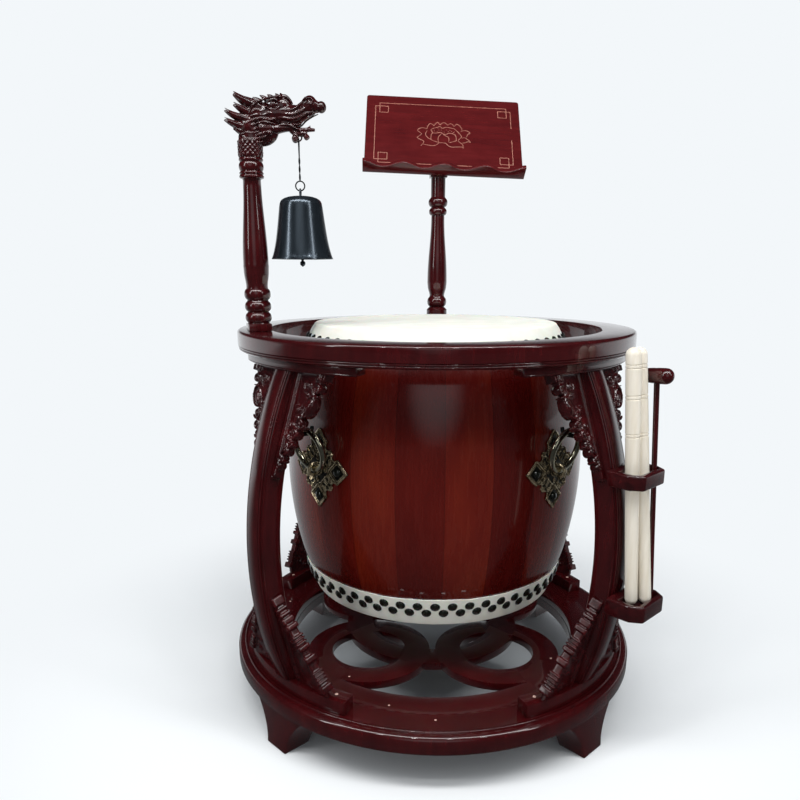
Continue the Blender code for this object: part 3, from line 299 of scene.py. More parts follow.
def at_posts(kind, end=""):
    """Names of a kind of CAD piece at the four posts."""
    return [kind + "_" + place + end for place in POST_ANGLES]


def placed(bm, matrix):
    bmesh.ops.transform(bm, matrix=matrix, verts=bm.verts)
    return bm


def outward(bm):
    bmesh.ops.recalc_face_normals(bm, faces=bm.faces)
    return bm


def mesh_of(bm, name="shape"):
    """Mesh of a bmesh, which is freed."""
    mesh = bpy.data.meshes.new(name)
    bm.to_mesh(mesh)
    bm.free()
    return mesh


def in_scene(name, data):
    made = bpy.data.objects.new(name, data)
    bpy.context.scene.collection.objects.link(made)
    return made


def chain(bm, points, closed=False):
    """Edges from point to point."""
    verts = [bm.verts.new(point) for point in points]
    edges = [bm.edges.new(pair) for pair in zip(verts, verts[1:])]
    if closed:
        edges.append(bm.edges.new((verts[-1], verts[0])))
    return verts + edges


def spun(bm, line, steps):
    """Full turn of a line about the Z axis."""
    bmesh.ops.spin(
        bm, geom=line, cent=(0, 0, 0), axis=(0, 0, 1), angle=math.tau, steps=steps,
        use_merge=True, use_duplicate=False,
    )
    bmesh.ops.remove_doubles(bm, verts=bm.verts, dist=0.00001)
    return outward(bm)


def turned(profile, steps, closed=False):
    """Profile of (radius, height) turned about the Z axis."""
    bm = bmesh.new()
    return spun(bm, chain(bm, [(r, 0.0, z) for r, z in profile], closed), steps)


def soften(bm, width, segments=2, sharper_than=30):
    """Rounds the edges that turn by more than an angle."""
    limit = math.radians(sharper_than)
    edges = [e for e in bm.edges if e.is_manifold and e.calc_face_angle() > limit]
    bmesh.ops.bevel(
        bm, geom=edges, offset=width, offset_type="OFFSET", affect="EDGES", segments=segments,
        profile=0.5, material=-1, clamp_overlap=True,
    )
    return bm


def add_to(bm, other, matrix=None):
    """Adds a second bmesh, moved by a matrix, and frees it."""
    if matrix is not None:
        placed(other, matrix)
    mesh = mesh_of(other)
    bm.from_mesh(mesh)
    bpy.data.meshes.remove(mesh)
    return bm


def repeated(bm, matrices):
    """A bmesh with one copy of another at each matrix."""
    made = bmesh.new()
    for matrix in matrices:
        add_to(made, bm.copy(), matrix)
    bm.free()
    return made


def finished(name, bm, finish, body, nodes=(), sharp=35, at=None):
    """Piece of a bmesh, placed by a matrix, that rides on a body in place of CAD nodes."""
    mesh = mesh_of(placed(bm, at) if at else bm, name)
    mesh.materials.append(finish)
    mesh.shade_smooth()
    mesh.set_sharp_from_angle(angle=math.radians(sharp))
    piece = in_scene(name, mesh)
    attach(piece, body)
    if nodes:
        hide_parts(*nodes)
    return piece


def arc(centre_r, centre_z, radius, start, end, count):
    """Points of a profile's round from a start angle to an end angle, in degrees."""
    angles = [math.radians(start + (end - start) * i / count) for i in range(count + 1)]
    return [(centre_r + radius * math.cos(a), centre_z + radius * math.sin(a)) for a in angles]


print("posts at", sorted(POST_ANGLES.values()), "degrees")

# %% [markdown]
# ## The two rings
# Each ring is a turned profile. The upper one has a rounded top edge and a double bead at the
# foot of its side. The base ring has a bead between two grooves before it rounds over. These
# narrow mouldings catch the light as thin bright lines, so they are cut at their real width.

# %% Rings of the stand
STAND_HEIGHT = 0.767
RING_SPIN_STEPS = 144


def ring_piece(name, profile, node):
    bm = turned(profile, RING_SPIN_STEPS, closed=True)
    finished(name, bm, stand_lacquer, "stand", [node], at=axis_frame)


upper_profile = [
    (0.3278, STAND_HEIGHT), (0.3285, STAND_HEIGHT), *arc(0.3845, 0.7615, 0.0055, 90, 0, 6),
    (0.3900, 0.7402), (0.3878, 0.7394), *arc(0.3878, 0.7376, 0.0017, 80, -80, 5),
    (0.3872, 0.7354), *arc(0.3870, 0.7334, 0.0017, 80, -80, 5), (0.3855, 0.7312),
    (0.3845, 0.7300), (0.3280, 0.7300), (0.3270, 0.7310), (0.3270, 0.7660),
]
ring_piece("turned_upper_ring", upper_profile, "upper_ring")

base_profile = [
    (0.3593, 0.1168), (0.4045, 0.1168), (0.4050, 0.1150),
    *arc(0.4074, 0.1152, 0.0018, 165, 15, 6), (0.4098, 0.1140), (0.4106, 0.1138),
    *arc(0.4130, 0.1040, 0.0100, 84, 0, 8), (0.4230, 0.0830), (0.4218, 0.0806), (0.4200, 0.0800),
    (0.3060, 0.0800), (0.3050, 0.0810), (0.3050, 0.1007), (0.3593, 0.1007),
]
ring_piece("turned_base_ring", base_profile, "base_ring")

APRON_SECTION = [
    (0.3390, 0.7145), (0.3395, 0.7140), (0.3737, 0.7140), (0.3749, 0.7146), (0.3752, 0.7160),
    (0.3743, 0.7172), (0.3755, 0.7184), (0.3755, 0.7300), (0.3390, 0.7300),
]
SHOE_SECTION = [
    (0.3685, 0.1173), (0.4003, 0.1173), (0.4005, 0.1180), (0.4005, 0.1408), (0.3998, 0.1424),
    (0.3983, 0.1430), (0.3700, 0.1430), (0.3688, 0.1424), (0.3685, 0.1410),
]


def bent_bar(section, half_angle, steps=24):
    """Bar that follows a ring, with its ends closed and slightly rounded."""
    bm = bmesh.new()
    line = chain(bm, [(r, 0.0, z) for r, z in section], closed=True)
    face = bmesh.ops.contextual_create(bm, geom=line)["faces"]
    placed(bm, rotation(-half_angle))
    bmesh.ops.spin(
        bm, geom=face, cent=(0, 0, 0), axis=(0, 0, 1), angle=math.radians(2 * half_angle),
        steps=steps,
    )
    return soften(outward(bm), 0.0012, 2, 60)


aprons = repeated(bent_bar(APRON_SECTION, 24.5), frames)
finished("ring_aprons", aprons, stand_lacquer, "stand")
shoes = repeated(bent_bar(SHOE_SECTION, 21.5), frames)
finished("post_shoes", shoes, stand_lacquer, "stand", at_posts("shoe"))
print("rings, aprons and shoes made")

# %% [markdown]
# ## Tracery board in the base
# Four rings and a centre ring cross each other inside the base ring. Turned flat rings are
# joined by a Boolean, which gives the sharp inner corners of the sawn openings, and a bevel by
# angle breaks every edge as sanding does.

# %% Joining and cutting
def modified(obj, kind, **settings):
    modifier = obj.modifiers.new(kind, kind)
    for key, value in settings.items():
        setattr(modifier, key, value)


def evaluated(first, *others):
    """Bmesh of an object with its modifiers applied; the objects are removed."""
    bpy.context.view_layer.update()
    bm = bmesh.new()
    bm.from_object(first, bpy.context.evaluated_depsgraph_get())
    for obj in (first, *others):
        bpy.data.objects.remove(obj)
    return bm


def combined(operation, shapes, width, sharper_than):
    """First bmesh joined with the others, or cut by them, with its sharp edges broken."""
    objects = [in_scene("shape", mesh_of(bm)) for bm in shapes]
    for other in objects[1:]:
        modified(objects[0], "BOOLEAN", operation=operation, solver="EXACT", object=other)
    modified(objects[0], "BEVEL", width=width, segments=2, limit_method="ANGLE",
             angle_limit=math.radians(sharper_than))
    return evaluated(*objects)

# %% [markdown]
# The rings are flat turned ones, all of the same thickness. Points that nearly meet after the
# Boolean are merged, so that no sliver is left in the openings.

# %% Tracery board
SLIVER = 2e-5


def flat_ring(inner, outer, steps):
    low, high = 0.1013, 0.1168
    return turned([(inner, high), (outer, high), (outer, low), (inner, low)], steps, True)


tracery = [flat_ring(0.3055, 0.3590, 144), flat_ring(0.131, 0.187, 96)]
for angle in POST_ANGLES.values():
    offset = rotation(angle) @ translation((0.186, 0, 0))
    tracery.append(placed(flat_ring(0.075, 0.126, 72), offset))
sawn = combined("UNION", tracery, 0.0010, 50)
bmesh.ops.dissolve_degenerate(sawn, dist=SLIVER, edges=sawn.edges)
print("tracery faces:", len(sawn.faces))
finished(
    "tracery_board", sawn, stand_lacquer, "stand", ["base_tracery"], at=axis_frame
)

# %% [markdown]
# ## Bowed posts
# Each post is sawn to a bow and moulded along its outer corners: two thin beads with a groove
# between. The section is drawn once, as depth below the outer face and distance from the
# middle, and spun about the centre of the bow. Plane cuts end it on the shoe and the apron.

# %% Posts
APRON_FOOT_Z = 0.714
SHOE_TOP_Z = 0.143
GLUE_GAP = 0.0003
POST_TOP = Vector((0.376, 0, APRON_FOOT_Z))
POST_FOOT = Vector((0.404, 0, SHOE_TOP_Z))
POST_BOW = 0.060
POST_DEPTH = 0.044
POST_HALF_WIDTH = 0.0225
post_chord = POST_TOP - POST_FOOT
bow_radius = ((post_chord.length / 2) ** 2 + POST_BOW ** 2) / (2 * POST_BOW)
inward = Vector((-post_chord.z, 0, post_chord.x)).normalized()
bow_centre = (POST_TOP + POST_FOOT) / 2 + inward * (bow_radius - POST_BOW)


def post_r(z, depth=0.0):
    """Distance of a depth below a post's outer face from the drum's axis."""
    return bow_centre.x + math.sqrt((bow_radius - depth) ** 2 - (z - bow_centre.z) ** 2)


def corner_bead(depth, width, radius):
    """Half-round bead on the outer corner, between two grooves."""
    angles = [math.radians(a) for a in (150, 100, 50, 0, -50)]
    return [(depth - radius * math.sin(a), width + radius * math.cos(a)) for a in angles]


side = [
    (0.0, 0.0148), (0.0006, 0.0156), (0.0020, 0.0158), *corner_bead(0.0026, 0.0180, 0.0015),
    (0.0052, 0.0186), (0.0058, 0.0192), *corner_bead(0.0070, 0.0208, 0.0015), (0.0094, 0.0218),
    (0.0102, POST_HALF_WIDTH), (0.0420, POST_HALF_WIDTH), (0.0435, 0.0218), (POST_DEPTH, 0.0200),
]
section = side + [(depth, -width) for depth, width in reversed(side)]


def cut_flat(bm, point, normal):
    """Takes away the normal's side of a plane and closes the cut."""
    everything = bm.verts[:] + bm.edges[:] + bm.faces[:]
    cut = bmesh.ops.bisect_plane(
        bm, geom=everything, plane_co=point, plane_no=normal, clear_outer=True
    )
    edges = [item for item in cut["geom_cut"] if isinstance(item, bmesh.types.BMEdge)]
    bmesh.ops.contextual_create(bm, geom=edges)


def moulded_post():
    half_sweep = math.asin(post_chord.length / 2 / bow_radius) * 1.12
    low = math.atan2(-inward.z, -inward.x) - half_sweep
    bm = bmesh.new()
    points = []
    for depth, width in section:
        reach = bow_radius - depth
        points.append(bow_centre + Vector((reach * math.cos(low), width, reach * math.sin(low))))
    face = bmesh.ops.contextual_create(bm, geom=chain(bm, points, closed=True))["faces"]
    bmesh.ops.spin(
        bm, geom=face, cent=bow_centre, axis=(0, -1, 0), angle=2 * half_sweep, steps=40
    )
    outward(bm)
    cut_flat(bm, (0, 0, SHOE_TOP_Z + GLUE_GAP), -ALONG_Z)
    cut_flat(bm, (0, 0, APRON_FOOT_Z - GLUE_GAP), ALONG_Z)
    return bm


posts = repeated(moulded_post(), frames)
finished("moulded_posts", posts, stand_lacquer, "stand", at_posts("post"), 50)
print("bow radius of the posts in metres:", round(bow_radius, 3))

# %% [markdown]
# ## Feet
# A foot is a block that narrows in a hollow curve from the ring to the floor. A cube is cut
# into many levels, and each level is narrowed by how far down it lies.

# %% Feet
def hollow_foot():
    bm = bmesh.new()
    bmesh.ops.create_cube(bm, size=1.0)
    uprights = [e for e in bm.edges if abs(e.verts[0].co.z - e.verts[1].co.z) > 0.5]
    bmesh.ops.subdivide_edges(bm, edges=uprights, cuts=13, use_grid_fill=True)
    for vert in bm.verts:
        down = (0.5 - vert.co.z) ** 0.85
        width = 0.058 + 0.084 * (0.5 + vert.co.z) ** 2.0
        depth = 0.088 - 0.032 * down
        outside = 0.413 + 0.010 * down
        x = outside if vert.co.x > 0 else outside - depth
        vert.co = Vector((x, width * vert.co.y, 0.0797 * (vert.co.z + 0.5)))
    return soften(bm, 0.0025, 3, 45)


feet = repeated(hollow_foot(), frames)
finished("shaped_feet", feet, stand_lacquer, "stand", at_posts("foot"), 50)

# %% [markdown]
# ## Screw plugs
# Pale round plugs close the screw holes of the shoes and of the base. They stand a hair
# proud, so each is a low dome.

# %% Plugs
def low_dome(radius, height, steps=12):
    """Dome on the XY plane, rounded over towards its rim."""
    profile = [(radius, -height)] + [
        (radius * math.cos(math.radians(a)), height * math.sin(math.radians(a)))
        for a in (0, 35, 65)
    ]
    return turned([(0.0, -height)] + profile + [(0.0, height)], steps)


SHOE_PLUG_TURN = 17.5
BASE_PLUGS = ((-14, 0.342), (0, 0.374), (55.7, 0.289))
on_shoes = [
    about @ rotation(turn) @ translation((0.382, 0, 0.1429))
    for about in frames for turn in (-SHOE_PLUG_TURN, SHOE_PLUG_TURN)
]
on_base = [
    axis_frame @ rotation(-90 + angle + 90 * quarter) @ translation((radius, 0, 0.1166))
    for angle, radius in BASE_PLUGS for quarter in range(4)
]
plugs = repeated(low_dome(0.0034, 0.0008), on_shoes)
add_to(plugs, repeated(low_dome(0.0024, 0.0005), on_base))
finished("screw_plugs", plugs, screw_plug, "stand")
print("screw plugs:", len(on_shoes + on_base))

# %% [markdown]
# ## Barrel and hides
# The barrel is a turned shell whose outline is a shallow parabola. Its hides are drawn over
# both ends, turned down over the edge and nailed, with a loose hem below the nails.

# %% Barrel and hides
DRUM_MIDDLE = 0.506
HALF_DRUM = 0.271
HIDE_TURN_DOWN = 0.058
DRUM_SPIN_STEPS = 176


def drum_r(z):
    """Outer radius of the drum at a height; the upper end narrows as a cone."""
    curved = 0.302 - 0.0495 * ((z - DRUM_MIDDLE) / HALF_DRUM) ** 2
    return min(curved, 0.2410 + 0.52 * (DRUM_MIDDLE + HALF_DRUM - z))


barrel_heights = [DRUM_MIDDLE + 0.2677 - 0.5354 * i / 32 for i in range(33)]
barrel_profile = []
for z in barrel_heights:
    inset = 0.0033 if abs(z - DRUM_MIDDLE) > 0.2095 else 0.0
    barrel_profile.append((drum_r(z) - inset, z))
barrel_profile += [(drum_r(z) - 0.024, z) for z in reversed(barrel_heights[::4])]
barrel = turned(barrel_profile, DRUM_SPIN_STEPS, closed=True)
finished(
    "barrel_of_staves", barrel, barrel_lacquer, "drum", ["drum_shell"], 60,
    axis_frame,
)


def drum_hide(up):
    """Hide over one end of the barrel, with a rounded shoulder and a slightly wavy hem."""
    end = DRUM_MIDDLE + up * HALF_DRUM
    edge = drum_r(end)
    profile = [
        (0.0, end), (0.12, end), (edge - 0.006, end), (edge - 0.0026, end - up * 0.0004),
        (edge - 0.0004, end - up * 0.0018), (edge + 0.0006, end - up * 0.0036),
    ]
    for down in (0.010, 0.020, 0.030, 0.040, 0.050, HIDE_TURN_DOWN + 0.002):
        profile.append((drum_r(end - up * down), end - up * down))
    hem = end - up * (HIDE_TURN_DOWN + 0.0027)
    profile += [(drum_r(hem) - 0.0010, hem), (drum_r(hem) - 0.0026, hem + up * 0.0003)]
    inner = end - up * 0.012
    profile += [(drum_r(inner) - 0.0026, inner), (edge - 0.0050, end - up * 0.0032)]
    profile.append((0.0, end - up * 0.0026))
    bm = turned(profile, DRUM_SPIN_STEPS)
    for vert in bm.verts:
        low = max(0.0, abs(vert.co.z - end) - 0.050) / 0.010
        about = math.atan2(vert.co.y, vert.co.x)
        wave = math.sin(9 * about) + 0.6 * math.sin(23 * about + 1) + 0.5 * math.sin(41 * about)
        vert.co.z += up * low * (0.0005 * wave + 0.0008)
    return outward(bm)


for name, up, node in (("upper_hide", 1, "top_head"), ("lower_hide", -1, "bottom_head")):
    finished(name, drum_hide(up), rawhide, "drum", [node], 60, axis_frame)

# %% [markdown]
# ## Nails
# Two staggered rows of domed nails hold each hide. There are 208 of them, so the dome has only
# a few dozen faces, and each stands square on the barrel's slope.

# %% Nail rows
NAILS_A_ROW = 52
NAIL_R = 0.0093


def nail_row(z, shift):
    slope = math.degrees(math.atan2(drum_r(z + 0.005) - drum_r(z - 0.005), 0.010))
    lie = translation((drum_r(z) + 0.0002, 0, z)) @ rotation(90 + slope, "Y")
    step = 360 / NAILS_A_ROW
    return [axis_frame @ rotation(step * (i + shift)) @ lie for i in range(NAILS_A_ROW)]


NAIL_ROWS = [
    (DRUM_MIDDLE + 0.2305, 0.0), (DRUM_MIDDLE + 0.2450, 0.5),
    (DRUM_MIDDLE - 0.2275, 0.0), (DRUM_MIDDLE - 0.2420, 0.5),
]
dome = low_dome(NAIL_R, 0.0040, 14)
for vert in dome.verts:
    vert.co.z = max(vert.co.z, -0.0010)
nail_places = [place for z, shift in NAIL_ROWS for place in nail_row(z, shift)]
finished("domed_nails", repeated(dome, nail_places), nail_metal, "drum")
print("nails:", len(nail_places))

# %% [markdown]
# ## Plates, ring handles and hooks
# Four cast diamonds are nailed to the barrel. Each has a framed square with a domed nail in
# every corner, curled rims between the corners, and combs and scrolls round the staple. The
# ornament is built flat and then wrapped onto the barrel, so it lies snug at every point.

# %% Strokes
def stroke(path, radii, sides=8, flat=1.0, up=ALONG_Y):
    """Bar through the points of a path; flat stretches its section along the up direction."""
    bm = bmesh.new()
    points = [Vector(point) for point in path]
    ring = bmesh.ops.create_circle(bm, cap_ends=True, segments=sides, radius=1.0)["verts"]
    shape = [vert.co.copy() for vert in ring]
    for i, (point, radius) in enumerate(zip(points, radii)):
        ahead = points[min(i + 1, len(points) - 1)] - points[max(i - 1, 0)]
        ahead = ahead.normalized() if ahead.length > 1e-9 else ALONG_Z
        across = up.cross(ahead)
        across = across.normalized() if across.length > 1e-4 else ahead.orthogonal().normalized()
        above = ahead.cross(across)
        if i:
            end = next(f for f in bm.faces if all(v in ring for v in f.verts))
            order = {v: k for k, v in enumerate(ring)}
            started = [order[v] for v in end.verts]
            drawn = bmesh.ops.extrude_discrete_faces(bm, faces=[end])["faces"][0]
            paired = sorted(zip(started, drawn.verts), key=lambda pair: pair[0])
            ring = [vert for _, vert in paired]
        for vert, offset in zip(ring, shape):
            vert.co = point + (across * offset.x + above * offset.y * flat) * radius
    open_end = [edge for edge in bm.edges if edge.is_boundary]
    bmesh.ops.holes_fill(bm, edges=open_end, sides=sides)
    return outward(bm)


def smooth_path(points, steps=5):
    """Points of a curve that passes through the given ones."""
    known = [Vector(p) for p in points]
    if len(known) < 3:
        return known
    path = []
    for i in range(len(known) - 1):
        a = known[max(i - 1, 0)]
        b, c = known[i], known[i + 1]
        d = known[min(i + 2, len(known) - 1)]
        for k in range(steps):
            t = k / steps
            path.append(0.5 * (
                2 * b + (c - a) * t + (2 * a - 5 * b + 4 * c - d) * t ** 2
                + (3 * b - a - 3 * c + d) * t ** 3
            ))
    return path + [known[-1]]


def spiral(centre, radius, shrink, start, sweep, count):
    """Flat points of a curl that loses a share of its radius as it turns."""
    points = []
    for k in range(count):
        t = k / (count - 1)
        r, a = radius * (1 - shrink * t), start + sweep * t
        points.append((centre[0] + r * math.cos(a), centre[1] + r * math.sin(a)))
    return points


def wire_ring(major, minor, matrix, steps=28, sides=10):
    """Ring of round wire about the Z axis of its matrix."""
    bm = bmesh.new()
    circle = bmesh.ops.create_circle(
        bm, segments=sides, radius=minor, matrix=translation((major, 0, 0)) @ UPRIGHT_ALONG_X
    )["verts"]
    edges = list({edge for vert in circle for edge in vert.link_edges})
    return placed(spun(bm, circle + edges, steps), matrix)


# %% [markdown]
# The plate is a thin cast sheet with notched edges. Its raised work is drawn in a flat square,
# because strokes are easy to place there in millimetres, and only then bent round the barrel.

# %% Plate ornament
PLATE_Z = 0.528
PLATE_SIDE = 0.074 * math.sqrt(2)
CORNERS = [(sx, sy) for sx in (-1, 1) for sy in (-1, 1)]


def wrapped(bm, about):
    """Takes a flat bmesh (across, up, out) onto the barrel, at a post's angle."""
    placed(bm, rotation(45))
    for vert in bm.verts:
        z = PLATE_Z + vert.co.y
        radius = drum_r(z) + 0.0003 + vert.co.z
        turn = vert.co.x / radius
        vert.co = Vector((radius * math.cos(turn), radius * math.sin(turn), z))
    return placed(outward(bm), about)


def plate_line(bm, points, radius=0.0011, lift=0.0022):
    """Round raised line on the plate, in millimetres from its middle."""
    path = [(x / 1000, y / 1000, lift) for x, y in points]
    add_to(bm, stroke(path, [radius] * len(path), 6, 1.0, ALONG_Z))


def plate_curl(bm, centre, radius, start, turns, hand):
    sweep = hand * math.tau * turns
    plate_line(bm, spiral(centre, radius, 0.7, start, sweep, int(12 * turns)), 0.0012)
    middle = translation((centre[0] / 1000, centre[1] / 1000, 0.0016))
    add_to(bm, low_dome(0.0014, 0.0016, 8), middle)


def plate_square(bm, corner, near, far, radius, lift):
    """Square of lines in one corner of the plate."""
    ends = [(near, near), (far, near), (far, far), (near, far), (near, near)]
    points = [(corner[0] * x, corner[1] * y) for x, y in ends]
    for pair in zip(points, points[1:]):
        plate_line(bm, pair, radius, lift)


NOTCH = ((0.0, 20.5), (4.0, 19.0), (8.0, 16.0), (9.5, 11.5), (8.0, 7.0), (4.5, 4.0), (2.0, 0.0))


def ornament():
    """Raised work of a plate, in a square of 105 mm that is later turned on its corner."""
    bm = bmesh.new()
    half = PLATE_SIDE * 500
    for sx, sy in CORNERS:
        plate_square(bm, (sx, sy), half - 32, half - 1.3, 0.0017, 0.0026)
        plate_square(bm, (sx, sy), half - 28.5, half - 4.8, 0.0009, 0.0020)
        plate_curl(bm, (sx * 14.5, sy * 14.5), 5.0, 0.8, 1.3, sx * sy)
    for quarter in range(4):
        piece = bmesh.new()
        for hand in (-1, 1):
            rim = [(half - deep - 1.2, hand * y) for deep, y in NOTCH]
            plate_line(piece, rim, 0.0014)
            middle = translation(((half - 6.5) / 1000, hand * 0.0030, 0.0014))
            add_to(piece, low_dome(0.0030, 0.0032, 10), middle)
            plate_curl(piece, (half - 16.0, hand * 11.0), 5.4, 2.4 * hand, 1.4, -hand)
            plate_curl(piece, (half - 25.0, hand * 12.5), 4.6, -0.6 * hand, 1.2, hand)
            comb = [(half - 31, hand * 17), (half - 28, hand * 9), (half - 31, hand * 4)]
            plate_line(piece, comb, 0.0008)
        plate_line(piece, [(half - 9, 0), (half - 14, 0)], 0.0015)
        for k in range(4):
            x = half - 17 - 2.9 * k
            plate_line(piece, [(x, -4.0), (x, 4.0)], 0.0010)
        plate_line(piece, [(half - 28.5, -8), (half - 28.5, 8)], 0.0010)
        add_to(bm, piece, rotation(90 * quarter))
    circle = arc(0.0, 0.0, 12, 0, 360, 24)
    for pair in zip(circle, circle[1:]):
        plate_line(bm, pair)
    return bm


def drawn_out(outline, thickness, rounding, segments=2):
    """Outline in the XY plane drawn out along Z, with rounded edges."""
    bm = bmesh.new()
    line = chain(bm, [(x, y, 0.0) for x, y in outline], closed=True)
    face = bmesh.ops.contextual_create(bm, geom=line)["faces"]
    drawn = bmesh.ops.extrude_face_region(bm, geom=face)
    moved = [item for item in drawn["geom"] if isinstance(item, bmesh.types.BMVert)]
    bmesh.ops.translate(bm, verts=moved, vec=(0, 0, thickness))
    outward(bm)
    return soften(bm, rounding, segments) if rounding else bm


def plate_ground():
    """Thin plate under the ornament, notched between its corners."""
    half = PLATE_SIDE / 2
    notch = [(half, half)] + [(half - deep / 1000, y / 1000) for deep, y in NOTCH]
    notch += [(x, -y) for x, y in reversed(notch[1:-1])]
    outline = []
    for quarter in range(4):
        turn = Matrix.Rotation(-quarter * math.pi / 2, 2)
        outline += [tuple(turn @ Vector(point)) for point in notch]
    bm = drawn_out(outline, 0.0016, 0.0)
    for way in (ALONG_X, ALONG_Y):
        for k in range(1, 10):
            everything = bm.verts[:] + bm.edges[:] + bm.faces[:]
            offset = way * (half * (k - 5) / 5)
            bmesh.ops.bisect_plane(bm, geom=everything, plane_co=offset, plane_no=way)
    return bm


grounds, raised, plate_nails = bmesh.new(), bmesh.new(), bmesh.new()
flat_ornament = ornament()
for about in frames:
    add_to(grounds, wrapped(plate_ground(), about))
    add_to(raised, wrapped(flat_ornament.copy(), about))
    for sx, sy in CORNERS:
        reach = PLATE_SIDE / 2 - 0.0167
        nail = placed(low_dome(0.0078, 0.0058, 20), translation((sx * reach, sy * reach, 0.0016)))
        add_to(plate_nails, wrapped(nail, about))
flat_ornament.free()
LUG_R = 0.3137
staple = wire_ring(0.0105, 0.0033, translation((LUG_R, 0, PLATE_Z)) @ UPRIGHT_ALONG_X, 32, 12)
lie_out = translation((drum_r(PLATE_Z) + 0.0018, 0, PLATE_Z)) @ UPRIGHT_ALONG_Y
add_to(staple, low_dome(0.0085, 0.0050, 20), lie_out)
add_to(raised, repeated(staple, frames))
bmesh.ops.dissolve_degenerate(grounds, dist=SLIVER, edges=grounds.edges)
finished("plate_grounds", grounds, plate_ground_finish, "drum", at_posts("plate"))
finished("plate_ornament", raised, plate_brass, "drum")
finished("plate_nails", plate_nails, nail_metal, "drum")

# %% [markdown]
# Each handle is a cast ring that turns in the staple of its plate and hangs on a forged hook on
# the inner side of a post. The hook is one bent bar with a round flange. A ring is a circle
# spun round an axis, and a stroke gives the bar its bend.

# %% Ring handles and hooks
HANDLE_R = 0.039
HANDLE_LEAN = 13.7
handle_pivot = translation((LUG_R, 0, 0.5292)) @ rotation(HANDLE_LEAN, "Y")
for place, about in post_frame.items():
    body = "ring_" + place
    ring_at = about @ handle_pivot @ translation((0, 0, HANDLE_R)) @ UPRIGHT_ALONG_Y
    handle_ring = wire_ring(HANDLE_R, 0.0055, ring_at, 64, 16)
    finished("cast_" + body, handle_ring, handle_brass, body, ["ring_handle_" + place])

HOOK_ROUTE = [
    (0.3745, 0, 0.5965), (0.3560, 0, 0.5961), (0.3380, 0, 0.5959), (0.3232, 0, 0.5958),
    (0.3195, 0, 0.5962), (0.3170, 0, 0.5984), (0.3152, 0, 0.6025), (0.3142, 0, 0.6078),
]
hook = stroke(HOOK_ROUTE, [0.0040] * 7 + [0.0036], 14, 1.0, ALONG_Y)
HOOK_Z = 0.5958
post_back = post_r(HOOK_Z, POST_DEPTH)
flange_lean = math.degrees(math.atan2(HOOK_Z - bow_centre.z, post_back - bow_centre.x))
flange_at = translation((post_back - 0.0020, 0, HOOK_Z)) @ rotation(-90 - flange_lean, "Y")
add_to(hook, low_dome(0.0118, 0.0016, 24), flange_at)
finished("forged_hooks", repeated(hook, frames), dark_steel, "stand", at_posts("hook"))
print("plates, handles and hooks made")

# %% [markdown]
# ## Turned bell post
# The post is turned: a square foot, three full beads, a slow vase and a collar with strings of
# fine beads. The profile runs from the top down. The square foot is a separate rounded block
# that the turning stands through.

# %% Bell post
BELL_POST_TURN = rotation(-159.3)
bell_frame = translation((-0.32928, -0.15704, STAND_HEIGHT))


def bead(middle, radius, half_height, bulge, count=6):
    """Round moulding of a turned post, from its top to its bottom."""
    angles = [math.radians(72 - 144 * i / count) for i in range(count + 1)]
    core = radius - bulge
    return [(core + bulge * math.cos(a), middle + half_height * math.sin(a)) for a in angles]


def vase(high, low, narrow, wide, steps=14):
    """Slow swell from a narrow top to a wide end."""
    points = []
    for i in range(steps + 1):
        part = i / steps
        swell = (1 - math.cos(math.pi * part)) / 2
        points.append((narrow + (wide - narrow) * swell, high + (low - high) * part))
    return points


def block(centre, size, rounding, segments=2):
    """Box with rounded edges."""
    bm = bmesh.new()
    bmesh.ops.create_cube(bm, size=1.0, matrix=translation(centre) @ Matrix.Diagonal((*size, 1)))
    return soften(bm, rounding, segments)


post_profile = [
    (0.0, 0.3245), (0.0185, 0.3245), (0.0195, 0.302), (0.0200, 0.299),
    *bead(0.2965, 0.0212, 0.0028, 0.0022), (0.0196, 0.2932),
    *bead(0.285, 0.0216, 0.0078, 0.0035), (0.0196, 0.2766),
    *bead(0.2742, 0.0212, 0.0022, 0.0018), (0.0200, 0.2715),
    *bead(0.2685, 0.0216, 0.0028, 0.0022), (0.0170, 0.2650), *vase(0.263, 0.120, 0.0157, 0.0228),
    (0.0231, 0.1165), (0.0228, 0.1130), *vase(0.108, 0.080, 0.0226, 0.0195, 6),
    *bead(0.067, 0.0241, 0.0100, 0.006), (0.0190, 0.0557), *bead(0.045, 0.0241, 0.0090, 0.006),
    (0.0190, 0.0353), *bead(0.025, 0.0241, 0.0090, 0.006), (0.0195, 0.0155), (0.0205, 0.0140),
    (0.0205, 0.0050), (0.0110, 0.0050), (0.0110, -0.0240), (0.0, -0.0240),
]
turned_post = turned(post_profile, 56)
add_to(turned_post, block((0, 0, 0.0073), (0.042, 0.042, 0.0140), 0.0015), BELL_POST_TURN)
finished(
    "turned_bell_post", turned_post, stand_lacquer, "bell_post", ["bell_post"],
    at=bell_frame,
)

# %% [markdown]
# ## Bell, wire and clapper
# The bell is cast and turned, with a rounded shoulder, a slight flare and a thick lip. It hangs
# by a wire ring from a doubled and twisted wire. A turned drop hangs inside as its clapper.

# %% Bell
BELL_REACH = 0.0853
BELL_CENTRE = bell_frame @ translation((BELL_REACH, 0, 0))
SHOULDER, MOUTH = 0.2267, 0.1285


def bell_r(z):
    part = (SHOULDER - z) / (SHOULDER - MOUTH)
    return 0.0372 + 0.0181 * (0.72 * part + 0.28 * part ** 5)


